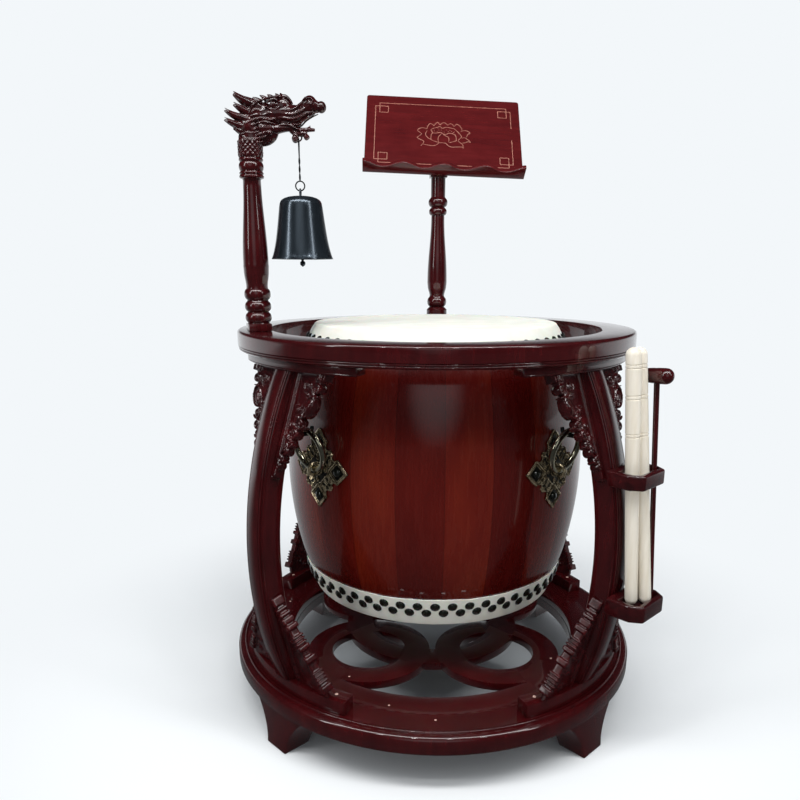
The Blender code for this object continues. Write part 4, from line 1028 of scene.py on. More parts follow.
bell_side = [SHOULDER + (MOUTH - SHOULDER) * i / 20 for i in range(1, 20)]
bell_profile = [
    (0.0, 0.2367), (0.014, 0.2362), (0.022, 0.2350), (0.0285, 0.2330), (0.0330, 0.2305),
    (0.0358, 0.2275), (0.0372, 0.2240), *[(bell_r(z), z) for z in bell_side[1:]],
    (0.0552, 0.1297), (0.0553, 0.1287), (0.0546, 0.1285), (0.0522, 0.1292),
    *[(bell_r(z) - 0.003, z) for z in reversed(bell_side[1:])], (0.0340, 0.2240),
    (0.0270, 0.2303), (0.0, 0.2337),
]
bell_shape = turned(bell_profile, 96)


def hung(height, upright):
    return translation((0, 0, height)) @ upright


CROWN_LOOP_Z = 0.2422
INNER_LOOP_Z = 0.2337
CLAPPER_LOOP_Z = 0.2254
SMALL_LOOP = (0.0058, 0.0015)
add_to(bell_shape, wire_ring(0.0062, 0.0014, hung(CROWN_LOOP_Z, UPRIGHT_ALONG_Y)))
add_to(bell_shape, wire_ring(*SMALL_LOOP, hung(INNER_LOOP_Z, UPRIGHT_ALONG_Y)))
finished("cast_bell", bell_shape, bell_metal, "bell", ["bell"], 40, BELL_CENTRE)

drop_top = CLAPPER_LOOP_Z - SMALL_LOOP[0]
drop = [
    (0.0, drop_top), (0.0018, drop_top), (0.0018, 0.1290), (0.0024, 0.1280), (0.0024, 0.1268),
    (0.0020, 0.1262), *arc(0.0, 0.1212, 0.0050, 60, -40, 6), (0.0024, 0.1170), (0.0010, 0.1158),
    (0.0, 0.1155),
]
clapper_shape = turned(drop, 20)
add_to(clapper_shape, wire_ring(*SMALL_LOOP, hung(CLAPPER_LOOP_Z, UPRIGHT_ALONG_X)))
finished(
    "turned_clapper", clapper_shape, bell_metal, "clapper", ["clapper"],
    at=BELL_CENTRE,
)

# %% [markdown]
# The wire is one length, doubled through the eye and twisted below. Its two strands are strokes
# along the same path, half a turn apart.

# %% Twisted wire
WIRE_R = 0.0009
strand = []
for i in range(33):
    part = i / 32
    gap = 0.0036 * max(0.0, 1 - part / 0.42) ** 0.8 + 0.0009
    twist = math.tau * 2.5 * max(0.0, part - 0.40)
    strand.append((gap, twist, 0.3270 - 0.0665 * part))
wires = bmesh.new()
for side_of in (0.0, math.pi):
    path = [(g * math.sin(t + side_of), g * math.cos(t + side_of), z) for g, t, z in strand]
    add_to(wires, stroke(path, [WIRE_R] * len(path), 6, up=ALONG_X))
top_bend = [
    (0.0, 0.0045 * math.cos(a), 0.3270 + 0.0030 * math.sin(a))
    for a in [math.pi * i / 10 for i in range(11)]
]
add_to(wires, stroke(top_bend, [WIRE_R] * len(top_bend), 6, up=ALONG_X))
add_to(wires, wire_ring(0.0080, 0.0012, hung(0.2535, UPRIGHT_ALONG_X)))
finished(
    "twisted_bell_wire", wires, dark_steel, "bell_wire", ["bell_wire"], at=BELL_CENTRE
)
print("bell, wire and clapper made")

# %% [markdown]
# ## Lectern
# A turned post carries a block that is cut to the slope of the board. It is turned from one
# profile as the bell post is, and a plane cut gives the block the slope that the board lies on,
# so the two always meet.

# %% Lectern post
lectern_frame = translation((0.01376, 0.32562, STAND_HEIGHT)) @ rotation(4.5)
board_foot = Vector((0.009, -0.0327, 0.338))
tilt = math.radians(38.5)
board_up = Vector((0, math.sin(tilt), math.cos(tilt)))
board_out = Vector((0, -math.cos(tilt), math.sin(tilt)))
board_axes = Matrix((ALONG_X, board_up, board_out)).transposed().to_4x4()
board_frame = lectern_frame @ translation(board_foot) @ board_axes @ rotation(-3.0)

profile = [
    (0.0, 0.3255), (0.0170, 0.3255), (0.0170, 0.2780), *bead(0.2660, 0.0229, 0.0100, 0.006),
    (0.0160, 0.2555), *bead(0.2450, 0.0214, 0.0080, 0.005), (0.0155, 0.2365),
    *vase(0.232, 0.085, 0.0158, 0.0238), (0.0240, 0.081), (0.0236, 0.0765),
    *vase(0.071, 0.047, 0.0230, 0.0180, 6), *bead(0.033, 0.0238, 0.0110, 0.006),
    (0.0182, 0.0205), (0.0240, 0.0150), (0.0250, 0.0140), (0.0250, 0.0010), (0.0243, 0.0003),
    (0.0110, 0.0003), (0.0110, -0.0240), (0.0, -0.0240),
]
lectern_turning = turned(profile, 56)
head_block = block((0, 0, 0.3795), (0.040, 0.036, 0.116), 0.0015)
cut_flat(head_block, board_foot - board_out * 0.0113, board_out)
add_to(lectern_turning, head_block)
finished(
    "turned_lectern_post", lectern_turning, stand_lacquer, "lectern", ["lectern_post"],
    at=lectern_frame,
)

# %% [markdown]
# The board is a plain panel. Its corners are rounded before its edges, so that each round keeps
# its own width. The ledge is a strip with its upper edge sawn to a wave, so its outline is a
# cosine, drawn out to the strip's thickness.

# %% Board and ledge
board = block((0, 0.116, -0.0055), (0.374, 0.232, 0.011), 0.0)
uprights = [e for e in board.edges if abs(e.verts[0].co.z - e.verts[1].co.z) > 0.009]
bmesh.ops.bevel(
    board, geom=uprights, offset=0.006, affect="EDGES", segments=5, profile=0.5, material=-1
)
soften(board, 0.0018, 3, 60)
finished(
    "lectern_reading_board", board, board_lacquer, "lectern", ["lectern_board"],
    at=board_frame,
)

outline = [(0.190, -0.011), (-0.190, -0.011)]
for i in range(97):
    part = i / 96
    outline.append((-0.190 + 0.380 * part, 0.016 + 0.0075 * math.cos(math.tau * 4 * part)))
finished(
    "wavy_ledge", drawn_out(outline, 0.010, 0.0014, 2), board_lacquer, "lectern",
    ["lectern_ledge"], 50, board_frame @ translation((0, -0.0003, 0)) @ UPRIGHT_ALONG_X,
)

# %% [markdown]
# The gold is brushed on by hand: a frame with a small square at each corner, and a lotus. Such
# paint stands up a little and thins out at the ends of a stroke. Flattened strokes show both,
# and stay sharp from near by, where a picture on the board would blur.

# %% Painted lines
LINE = 0.0009


def line_on_board(points, widths=None):
    """Flat raised line through points on the board's face."""
    path = [(x, y, 0.0001) for x, y in points]
    return stroke(path, widths or [LINE] * len(path), 6, 0.35, ALONG_Z)


def stepped_frame(half, low, high, step, square):
    """Line frame that steps in at each corner to a small square."""
    made = bmesh.new()
    for sx in (-1, 1):
        for y0, sy in ((low, 1), (high, -1)):
            x1, y1 = sx * (half - step), y0 + sy * step
            x2, y2 = sx * (half - step - square), y0 + sy * (step + square)
            step_in = [(sx * half, y1), (x1, y1), (x1, y0)]
            small = [(x1, y1), (x2, y1), (x2, y2), (x1, y2), (x1, y1)]
            for run in (step_in, small):
                for a, b in zip(run, run[1:]):
                    add_to(made, line_on_board([a, b]))
    for y in (low, high):
        add_to(made, line_on_board([(-half + step, y), (half - step, y)]))
    add_to(made, line_on_board([(-half, low + step), (-half, high - step)]))
    worn = [(low + step, low + 0.46 * (high - low)), (low + 0.66 * (high - low), high - step)]
    for a, b in worn:
        add_to(made, line_on_board([(half, a), (half, b)]))
    return made


LOTUS = (
    ((-40, 125), (-38, 134), (-35, 141), (-31, 144), (-27, 142), (-22, 137)),
    ((-22, 138), (-18, 145), (-14, 149), (-11, 146), (-7, 140)),
    ((-7, 142), (-2, 148), (3, 149), (7, 146), (11, 141)),
    ((11, 141), (15, 145), (19, 147), (23, 143), (26, 138)),
    ((27, 138), (30, 144), (35, 145), (40, 140), (44, 133), (45, 126)),
    ((-40, 126), (-46, 128), (-51, 129), (-58, 126), (-62, 120), (-58, 115), (-52, 109)),
    ((-52, 109), (-57, 103), (-63, 96), (-56, 91), (-47, 85), (-49, 78), (-54, 70)),
    ((-49, 76), (-40, 74), (-26, 72), (-19, 74), (-11, 81)),
    ((-39, 120), (-42, 113), (-43, 106), (-38, 98), (-32, 93), (-24, 88), (-15, 85), (-11, 83)),
    ((-11, 83), (4, 82), (9, 77), (16, 71), (29, 71), (43, 72), (48, 68)),
    ((35, 90), (40, 86), (45, 81), (47, 74), (48, 68)),
    ((25, 132), (32, 124), (38, 116), (43, 108), (43, 103), (37, 96), (35, 90)),
    ((42, 122), (47, 125), (55, 126), (60, 123), (64, 119), (59, 114), (55, 104)),
    ((44, 101), (53, 102), (58, 97), (65, 89), (58, 90), (51, 86), (45, 85)),
    ((-11, 83), (-13, 92), (-12, 101), (-8, 108), (-3, 113)),
    ((-1, 111), (6, 105), (12, 101), (13, 93), (12, 85)),
    ((20, 114), (27, 111), (30, 105), (31, 95), (30, 91), (23, 88), (14, 84)),
    ((-31, 124), (-28, 119), (-26, 114), (-29, 108), (-30, 100), (-30, 93)),
    ((-30, 124), (-24, 129), (-15, 132), (-8, 136), (-2, 130), (5, 134), (15, 133), (25, 131)),
    ((-26, 114), (-19, 113), (-13, 115), (-6, 116), (-2, 113), (5, 110), (13, 115), (22, 115),
     (27, 121)),
)
SEEDS = ((-22, 122), (-15, 119), (-11, 124), (-5, 122), (2, 118), (7, 125), (12, 120), (16, 125),
         (20, 121), (-13, 128), (-5, 128), (9, 111))
lotus = []
for outline in LOTUS:
    curved = smooth_path([(x / 1000, y / 1000, 0) for x, y in outline], 3)
    lotus.append([(point.x, point.y) for point in curved])
for x, y in SEEDS:
    lotus.append([(x / 1000 - 0.0010, y / 1000), (x / 1000 + 0.0010, y / 1000)])
gold = stepped_frame(0.1647, 0.012, 0.2054, 0.0100, 0.0210)
for points in lotus:
    ends = len(points) - 1
    thin = [LINE * (0.6 + 0.4 * math.sin(math.pi * i / ends)) for i in range(ends + 1)]
    add_to(gold, line_on_board(points, thin))
finished("gold_line_frame", gold, gilding, "lectern", at=board_frame)
print("lectern made")

# %% [markdown]
# ## Carving
# A carver rounds every ridge into the next one. Here the ridges are strokes and balls that
# run into each other. A voxel remesh melts them into one closed skin, and a little smoothing
# takes off the steps, which leaves the soft shine of lacquered carving.

# %% Carving helpers
SPECK_POINTS = 200


def drop_specks(bm):
    """Takes away the specks that the voxel grid leaves beside the skin."""
    seen, specks = set(), []
    for start in bm.verts:
        if start in seen:
            continue
        seen.add(start)
        island = [start]
        for vert in island:
            for edge in vert.link_edges:
                other = edge.other_vert(vert)
                if other not in seen:
                    seen.add(other)
                    island.append(other)
        if len(island) < SPECK_POINTS:
            specks += island
    bmesh.ops.delete(bm, geom=specks, context="VERTS")


def carved(bm, voxel, smoothing):
    """One closed skin over everything in a bmesh."""
    rough = in_scene("carving", mesh_of(bm))
    modified(rough, "REMESH", mode="VOXEL", voxel_size=voxel)
    modified(rough, "SMOOTH", iterations=smoothing, factor=0.5)
    skin = evaluated(rough)
    drop_specks(skin)
    return skin


def ball(bm, centre, axes):
    """Ball stretched along the three axes."""
    matrix = translation(centre) @ Matrix.Diagonal((*axes, 1))
    bmesh.ops.create_icosphere(bm, subdivisions=3, radius=1.0, matrix=matrix)


def tapered(count, start, middle, end):
    """Radii that swell to the middle and thin towards the end."""
    shares = [2 * i / (count - 1) for i in range(count)]
    return [
        start + (middle - start) * t if t < 1 else middle + (end - middle) * (t - 1)
        for t in shares
    ]


# %% [markdown]
# ## Dragon head
# The head looks out over the bell: five swept mane spikes, flame tufts on the crown, a brow
# over a bulging eye, long lips, a ball nose with a coiled nostril, a thin lower jaw and two
# curled beard locks beside the wire. Sizes are in millimetres from the middle of the post and
# above the ring, and each side ridge is carved on both sides.

# %% Dragon head
head = bmesh.new()


def flesh(points, y=0.0, flat=1.0, sides=12):
    """Full stroke through (x, z, radius) points in millimetres."""
    path = smooth_path([(x / 1000, y / 1000, z / 1000, r / 1000) for x, z, r in points])
    radii = [max(point[3], 0.0005) for point in path]
    add_to(head, stroke([point.to_3d() for point in path], radii, sides, flat))


def coil(centre, y, radius, inner, start, sweep, radii):
    """Ridge that coils in to an inner radius, in millimetres."""
    flat = spiral(centre, radius, 1 - inner / radius, start, sweep, len(radii))
    add_to(head, stroke([(x / 1000, y / 1000, z / 1000) for x, z in flat], radii, 8))


for (x, z), (a, b, c) in {
    (22, 368): (33, 14.5, 21), (4, 348): (25, 15, 21), (2, 333): (22, 16.5, 12),
    (56, 381): (19, 12.5, 17), (46, 366): (28, 13, 13), (22, 342): (29, 14.0, 24),
}.items():
    ball(head, (x / 1000, 0, z / 1000), (a / 1000, b / 1000, c / 1000))
flesh([(40, 370, 18), (60, 370, 17), (76, 369.5, 16), (88, 371, 14.5), (98, 377, 14.5),
       (106, 382, 15)], 0, 0.8)
flesh([(98, 377, 12), (108, 383, 13), (118, 381, 10), (127, 380, 7)], 0, 0.9)
ball(head, (0.1262, 0, 0.3808), (0.0086, 0.0100, 0.0098))
ball(head, (0.1065, 0, 0.3880), (0.0115, 0.0108, 0.0118))
flesh([(20, 346, 12), (42, 346, 9.5), (56, 347, 7), (68, 347.5, 5.6), (80, 346, 5),
       (92, 344.5, 4.2), (104, 345, 3.6), (114, 344.6, 2.6)], 0, 1.5)
flesh([(58, 355, 9), (72, 356, 7), (84, 354.5, 4.5), (91, 354, 2)], 0, 1.1)
SPIKES = (
    [(22, 380, 10), (4, 387, 9.5), (-12, 394, 7), (-25, 402, 2.4)],
    [(14, 368, 9), (0, 373, 8), (-14, 379, 5.5), (-26, 385.5, 1.6)],
    [(8, 358, 9), (-6, 362, 8), (-28, 369, 5.2), (-42, 376.5, 1.4)],
    [(6, 346, 9), (-10, 349, 8.2), (-30, 356, 5.2), (-43, 361.5, 1.4)],
    [(4, 338, 9), (-12, 341, 6.5), (-28, 347.5, 1.4)],
)
for points in SPIKES:
    flesh(points, 0, 1.25)
    for hand in (-1, 1):
        for dx, dz, share, y in ((2, 3.2, 0.40, 7.0), (3, 0.3, 0.30, 10.0), (4, -3.2, 0.36, 9.0)):
            ridge = [(x + dx, z + dz, r * share) for x, z, r in points]
            flesh(ridge, hand * y, 1.1, 8)
for points in (
    [(22, 389, 5), (16, 393, 3.6), (9, 396.5, 0.8)],
    [(34, 391, 5), (28, 396, 3.4), (21, 399.5, 0.8)],
    [(46, 392, 5), (40, 397.5, 3.4), (34, 400.5, 0.8)],
    [(56, 392, 5), (52, 398.5, 3.2), (48, 402.2, 0.8)],
    [(62, 392, 5), (59, 399, 3.0), (56.5, 403, 0.8)],
    [(10, 386, 5), (2, 389.5, 3.2), (-6, 392, 0.8)],
    [(54, 394, 4.5), (64, 397, 4), (71, 393, 3.2), (76, 386.5, 1.8)],
):
    for hand in (-1, 1):
        flesh(points, hand * 4, 1.2, 8)
SIDE_LINES = (
    (11.8, [(4, 369, 1.2), (9, 380, 1.9), (20, 388, 2.1), (34, 393, 2.1), (49, 395.5, 2.0),
            (61, 396, 1.2)]),
    (12.2, [(34, 384, 1.0), (40, 389.5, 1.8), (49, 391, 1.9), (57, 386.5, 1.0)]),
    (12.2, [(33, 381, 1.0), (40, 376, 1.5), (49, 375.5, 1.6), (57, 380, 1.0)]),
    (12.6, [(8, 371, 0.9), (16, 374.5, 2.0), (25, 373, 1.8), (32, 376, 0.8)]),
    (13.0, [(6, 364, 0.9), (16, 367, 2.0), (27, 366, 2.0), (38, 369.5, 1.8), (50, 368.5, 0.9)]),
    (13.4, [(-2, 354, 0.9), (10, 358, 2.1), (24, 361.5, 2.2), (38, 359, 1.9), (48, 361, 0.8)]),
    (13.6, [(0, 349, 0.9), (12, 351.5, 2.0), (26, 355.5, 2.1), (40, 354, 1.6), (48, 352, 0.8)]),
    (13.6, [(6, 342, 0.9), (20, 346.5, 2.2), (32, 349, 2.0), (42, 347, 0.8)]),
    (13.8, [(-12, 336, 0.9), (-2, 338.5, 2.0), (8, 337.5, 2.0), (18, 340, 0.8)]),
    (13.4, [(12, 333, 0.9), (22, 336.5, 2.0), (33, 340, 1.8), (40, 338, 0.8)]),
    (14.2, [(-14, 329, 0.9), (-2, 330.5, 2.0), (10, 328.5, 2.0), (22, 330.5, 1.6),
            (32, 333, 0.8)]),
    (14.4, [(-14, 323.5, 0.9), (0, 324, 1.9), (14, 322.5, 1.9), (26, 325, 0.8)]),
    (11.4, [(48, 372.5, 1.0), (60, 374.5, 2.0), (74, 374, 2.0), (86, 379, 1.8), (93, 386, 1.0)]),
    (11.6, [(46, 367, 1.0), (60, 369, 2.0), (76, 367.5, 2.1), (90, 371.5, 1.8), (99, 377, 1.0)]),
    (11.0, [(44, 362, 1.0), (58, 362.5, 2.0), (76, 360.5, 2.1), (90, 364, 1.9), (102, 369, 1.6),
            (114, 372.5, 1.0)]),
    (8.0, [(60, 352.5, 0.9), (76, 353, 1.4), (88, 352, 1.6), (98, 360.5, 1.6), (110, 367.5, 1.4),
           (120, 371.5, 0.9)]),
    (9.8, [(90, 372.5, 0.8), (93.5, 381, 1.5), (96, 389.5, 1.6), (101, 396, 0.9)]),
    (8.6, [(46, 350, 1.0), (60, 352, 1.6), (72, 351, 1.8), (82, 346.5, 1.6), (92, 342, 1.0)]),
)
for y, points in SIDE_LINES:
    for hand in (-1, 1):
        flesh(points, hand * y, 1.1, 8)
for hand in (-1, 1):
    ball(head, (0.0455, hand * 0.0112, 0.3830), (0.0066, 0.0046, 0.0054))
    ball(head, (0.0335, hand * 0.0134, 0.3795), (0.0022, 0.0020, 0.0022))
    ball(head, (0.0380, hand * 0.0128, 0.3385), (0.0040, 0.0034, 0.0040))
    nostril = tapered(10, 0.0012, 0.0021, 0.0016)
    coil((108.0, 387.2), hand * 10.6, 8.2, 1.18, 2.6, -5.94, nostril)
flesh([(101, 346, 2.4), (104.5, 349, 1.8), (106.5, 352, 0.8)], 0, 1.0, 8)
beard = tapered(9, 0.0008, 0.0015, 0.0011)
for x, z, size in ((79.5, 330.5, 6.2), (99, 333.5, 4.9)):
    ball(head, (x / 1000, 0, z / 1000), (size / 1000, size * 1.4 / 1000, size * 1.15 / 1000))
    for hand in (-1, 1):
        coil((x, z), hand * size * 1.2, size + 0.6, size - 3.4, 2.2, -5.2, beard)
flesh([(72, 344, 4), (80, 339.5, 5), (90, 338.5, 4.4), (100, 341, 3.6)], 0, 1.5)
eye_place = translation((BELL_REACH, 0, 0.3325)) @ UPRIGHT_ALONG_X
add_to(head, wire_ring(0.0055, 0.0015, eye_place))
add_to(head, turned([(0.0, 0.330), (0.0198, 0.330), (0.0202, 0.3005), (0.0, 0.3005)], 40))
SCALES_ROUND = 16
SCALE_LEAN = math.degrees(0.42)
scale = bmesh.new()
ball(scale, (0, 0, 0), (0.0022, 0.0036, 0.0042))
scale_places = []
for row in range(6):
    seat = translation((0.0196, 0, 0.3025 + 0.0043 * row)) @ rotation(SCALE_LEAN, "Y")
    for k in range(SCALES_ROUND):
        scale_places.append(rotation(360 * (k + 0.5 * (row % 2)) / SCALES_ROUND) @ seat)
add_to(head, repeated(scale, scale_places))
head_skin = carved(head, 0.00085, 2)
print("dragon head faces:", len(head_skin.faces))
finished(
    "carved_dragon_head", head_skin, carved_lacquer, "bell_post", ["dragon_head"],
    180, bell_frame,
)

# %% [markdown]
# ## Carved brackets
# Each post has two brackets under the ring and two on the base. The upper ones are cloud
# scrolls: curls with ball centres along a slope, an oval petal and a ribbed block. The lower
# ones carry a rail of ribs and blocks along their slope. All are carved in a flat frame, with
# u along the ring, v down or up the post and w through the thickness, then set on the post.

# %% Upper brackets
BRACKET_THICKNESS = 0.022
MIDDLE = BRACKET_THICKNESS / 2


def bracket_place(side, root_z, tip_z):
    """Frame of a bracket beside a post, which leans as the post does."""
    mid_r = [(post_r(z) + post_r(z, POST_DEPTH)) / 2 for z in (root_z, tip_z)]
    away = Vector((mid_r[1] - mid_r[0], 0, tip_z - root_z)).normalized()
    along = Vector((0, side, 0))
    face = along.cross(away)
    root = Vector((mid_r[0], side * (POST_HALF_WIDTH + GLUE_GAP), root_z)) - face * MIDDLE
    return translation(root) @ Matrix((along, away, face)).transposed().to_4x4()


def backing(bm, outline, half_thickness):
    """Board inside the carving, drawn out about the middle of the thickness."""
    board = drawn_out(outline, 2 * half_thickness, 0.0)
    add_to(bm, board, translation((0, 0, MIDDLE - half_thickness)))


def curl(bm, centre, radius, start, turns, hand, width=0.0026, height=0.0105):
    """Spiral ridge that stands through the thickness, with a ball at its centre."""
    count = int(14 * turns) + 4
    flat = spiral(centre, radius, 0.72, start, hand * math.tau * turns, count)
    path = [(x, y, MIDDLE) for x, y in flat]
    radii = tapered(count, width * 0.8, width, width * 0.75)
    add_to(bm, stroke(path, radii, 10, height / width, ALONG_Z))
    core_r = max(0.0022, radius * 0.26)
    ball(bm, (centre[0], centre[1], MIDDLE), (core_r, core_r, height + 0.0006))


def slope_point(arm, drop, t, inset):
    """Point at a share of the slope and a distance inside it."""
    a, b = Vector((arm, 0.016)), Vector((0.004, drop))
    run = b - a
    out = Vector((run.y, -run.x)).normalized()
    return a + run * t - out * inset


def rounded_bar(bm, centre, size, angle, rounding=0.0008):
    """Small rounded block in the bracket's frame; the size is along, across and through."""
    turn = Matrix.Rotation(angle, 4, "Z")
    add_to(bm, block((0, 0, 0), size, rounding), translation((*centre, MIDDLE)) @ turn)


def upper_bracket():
    bm = bmesh.new()
    arm, drop = 0.084, 0.190
    edge = [
        (0.0004, -0.012), (0.076, -0.012), (0.074, 0.010),
        *[tuple(slope_point(arm, drop, t / 10, 0.013 if t < 9 else 0.006)) for t in range(1, 10)],
        (0.006, 0.184), (0.0004, 0.188),
    ]
    backing(bm, edge, 0.0065)
    rounded_bar(bm, (0.0055, 0.087), (0.0105, 0.200, 0.019), 0.0, 0.0015)
    rounded_bar(bm, (0.040, -0.004), (0.078, 0.014, 0.019), 0.0, 0.0015)
    for k in range(4):
        rounded_bar(bm, (0.060 + 0.0062 * k, 0.006), (0.0036, 0.016, 0.0215), 0.0)
    curls = (
        (0.10, 0.012, 0.0125, 1.2, 1.2, 1), (0.44, 0.010, 0.0110, 0.3, 1.3, 1),
        (0.545, 0.009, 0.0090, 2.2, 1.2, -1), (0.635, 0.008, 0.0085, 0.3, 1.3, 1),
        (0.720, 0.0075, 0.0078, 2.2, 1.2, -1), (0.800, 0.0065, 0.0068, 0.3, 1.2, 1),
        (0.870, 0.0055, 0.0058, 2.2, 1.1, -1), (0.930, 0.0045, 0.0048, 0.3, 1.0, 1),
        (0.14, 0.036, 0.0105, 3.6, 1.2, -1), (0.36, 0.030, 0.0085, 3.6, 1.1, 1),
        (0.50, 0.024, 0.0062, 3.4, 1.0, -1), (0.62, 0.020, 0.0050, 3.4, 1.0, 1),
    )
    for t, inset, radius, start, turns, hand in curls:
        curl(bm, slope_point(arm, drop, t, inset), radius, start, turns, hand)
    petal_at = slope_point(arm, drop, 0.275, 0.011)
    lean = math.atan2(0.174, -0.080)
    ring_path = []
    for k in range(25):
        a = math.tau * k / 24
        flat_point = Vector((0.0190 * math.cos(a), 0.0105 * math.sin(a)))
        ring_path.append((*(petal_at + Matrix.Rotation(lean, 2) @ flat_point), MIDDLE))
    add_to(bm, stroke(ring_path, [0.0018] * len(ring_path), 8, 5.6, ALONG_Z))
    dome = bmesh.new()
    ball(dome, (0, 0, 0), (0.0160, 0.0078, 0.0092))
    add_to(bm, dome, translation((*petal_at, MIDDLE)) @ Matrix.Rotation(lean, 4, "Z"))
    for t, inset, size in ((0.20, 0.026, 0.0034), (0.31, 0.024, 0.0030), (0.41, 0.020, 0.0030),
                           (0.56, 0.017, 0.0026), (0.70, 0.013, 0.0024), (0.99, 0.002, 0.0036)):
        ball(bm, (*slope_point(arm, drop, t, inset), MIDDLE), (size, size, 0.0112))
    return carved(bm, 0.0013, 2)


def seated(bracket, side, root_z, tip_z):
    """Copy of a bracket at each post, cut flat where it meets the ring or the base."""
    bm = outward(placed(bracket.copy(), bracket_place(side, root_z, tip_z)))
    up = 1 if root_z > tip_z else -1
    cut_flat(bm, (0, 0, root_z - up * GLUE_GAP), (0, 0, up))
    return repeated(bm, frames)


def brackets(kind, bracket, coating, root_z, tip_z):
    for end, side in (("_a", -1), ("_b", 1)):
        made = seated(bracket, side, root_z, tip_z)
        nodes = at_posts(kind, end)
        finished("carved_" + kind + end, made, coating, "stand", nodes, 60)
    print(kind, "faces each:", len(bracket.faces))
    bracket.free()


brackets("upper_bracket", upper_bracket(), carved_lacquer, APRON_FOOT_Z, 0.524)

# %% [markdown]
# The lower brackets stand on the base on both sides of each post. A rail of ribs and blocks
# runs along their slope, placed by a list of shares of its length, and curls fill the corner.

# %% Lower brackets
RAIL = (
    (0.00, 0.085, 0.0075), (0.110, 0.140, 0.0050), (0.165, 0.195, 0.0062), (0.215, 0.270, 0.0050),
    (0.285, 0.335, 0.0075), (0.405, 0.425, 0.0062), (0.440, 0.460, 0.0062), (0.475, 0.495, 0.0062),
    (0.510, 0.555, 0.0072), (0.625, 0.685, 0.0072), (0.780, 0.800, 0.0062), (0.815, 0.835, 0.0062),
    (0.850, 0.870, 0.0062), (0.885, 0.905, 0.0062), (0.930, 1.000, 0.0078),
)


def lower_bracket():
    bm = bmesh.new()
    arm, rise = 0.096, 0.184
    edge = [
        (0.0004, -0.012), (0.090, -0.012), (0.088, 0.012),
        *[tuple(slope_point(arm, rise, t / 10, 0.010)) for t in range(1, 10)], (0.003, 0.176),
        (0.0004, 0.180),
    ]
    backing(bm, edge, 0.0055)
    rounded_bar(bm, (0.0050, 0.082), (0.0095, 0.188, 0.018), 0.0, 0.0015)
    run = Vector((0.004 - arm, rise - 0.016))
    angle = math.atan2(run.y, run.x)
    length = run.length
    middle = slope_point(arm, rise, 0.5, 0.0065)
    rounded_bar(bm, middle, (length * 0.98, 0.0080, 0.0170), angle, 0.0015)
    for low, high, height in RAIL:
        t = 1 - (low + high) / 2
        spot = slope_point(arm, rise, t, 0.0100 - height / 2 - 0.0020)
        rounded_bar(bm, spot, (length * (high - low), height + 0.0055, 0.0235), angle, 0.0016)
    for t, inset, radius, start, turns, hand in (
        (0.12, 0.024, 0.0085, 0.4, 1.2, 1), (0.27, 0.024, 0.0080, 2.0, 1.2, -1),
        (0.42, 0.023, 0.0075, 0.4, 1.2, 1), (0.56, 0.021, 0.0065, 2.0, 1.1, -1),
        (0.69, 0.018, 0.0055, 0.4, 1.1, 1), (0.10, 0.046, 0.0085, 3.6, 1.2, -1),
        (0.26, 0.042, 0.0070, 3.6, 1.2, 1), (0.41, 0.037, 0.0055, 3.6, 1.0, -1),
    ):
        curl(bm, slope_point(arm, rise, t, inset), radius, start, turns, hand, 0.0022, 0.0088)
    return carved(bm, 0.0013, 1)


brackets("lower_bracket", lower_bracket(), rubbed_lacquer, SHOE_TOP_Z, 0.327)

# %% [markdown]
# ## Drumsticks, mallet and holder
# The drumsticks are turned from pale wood with domed ends and pairs of scored lines. The small
# mallet is lacquered. The holder is two blocks on one post: an open loop above and a cup with a
# floor below, each pierced by a pocket with rounded corners.

# %% Sticks
STICK_LENGTH = 0.433
STICK_TOP_R, STICK_END_R = 0.0127, 0.0105
MALLET_END_R = 0.0048
STICK_REST_Z = 0.3273
STICK_FRAMES = {
    "drumstick_1": (0.4765, -0.0100, 4.4, -0.1),
    "drumstick_2": (0.4900, 0.0115, 6.9, 0.6),
}


def leaning(radius, offset, end_r, lean, side_lean):
    """Frame of a stick: the origin is the middle of its round lower end."""
    spot = post_frame["front_right"] @ translation((radius, offset, STICK_REST_Z + end_r))
    return spot @ rotation(-lean, "Y") @ rotation(-side_lean, "X")


def scored(r, z, gap=0.0026):
    """Narrow groove cut round a stick."""
    low = r - 0.0010
    return [(r, z + gap / 2), (low, z + gap / 4), (low, z - gap / 4), (r, z - gap / 2)]


def stick_profile():
    top, end = STICK_TOP_R, STICK_END_R
    length = STICK_LENGTH - end - top
    profile = [(0.0, length + top)] + arc(0.0, length, top, 78, 0, 6)
    for below in (0.0150, 0.0205, 0.0640, 0.0700, 0.1265, 0.1315):
        z = length - below
        profile += scored(top + (end - top) * below / length, z)
    profile += [(end, 0.0)] + arc(0.0, 0.0, end, -15, -75, 4) + [(0.0, -end)]
    return profile


for name, (radius, offset, lean, side_lean) in STICK_FRAMES.items():
    place = leaning(radius, offset, STICK_END_R, lean, side_lean)
    stick = turned(stick_profile(), 32)
    finished("turned_" + name, stick, stick_wood, name, [name], at=place)

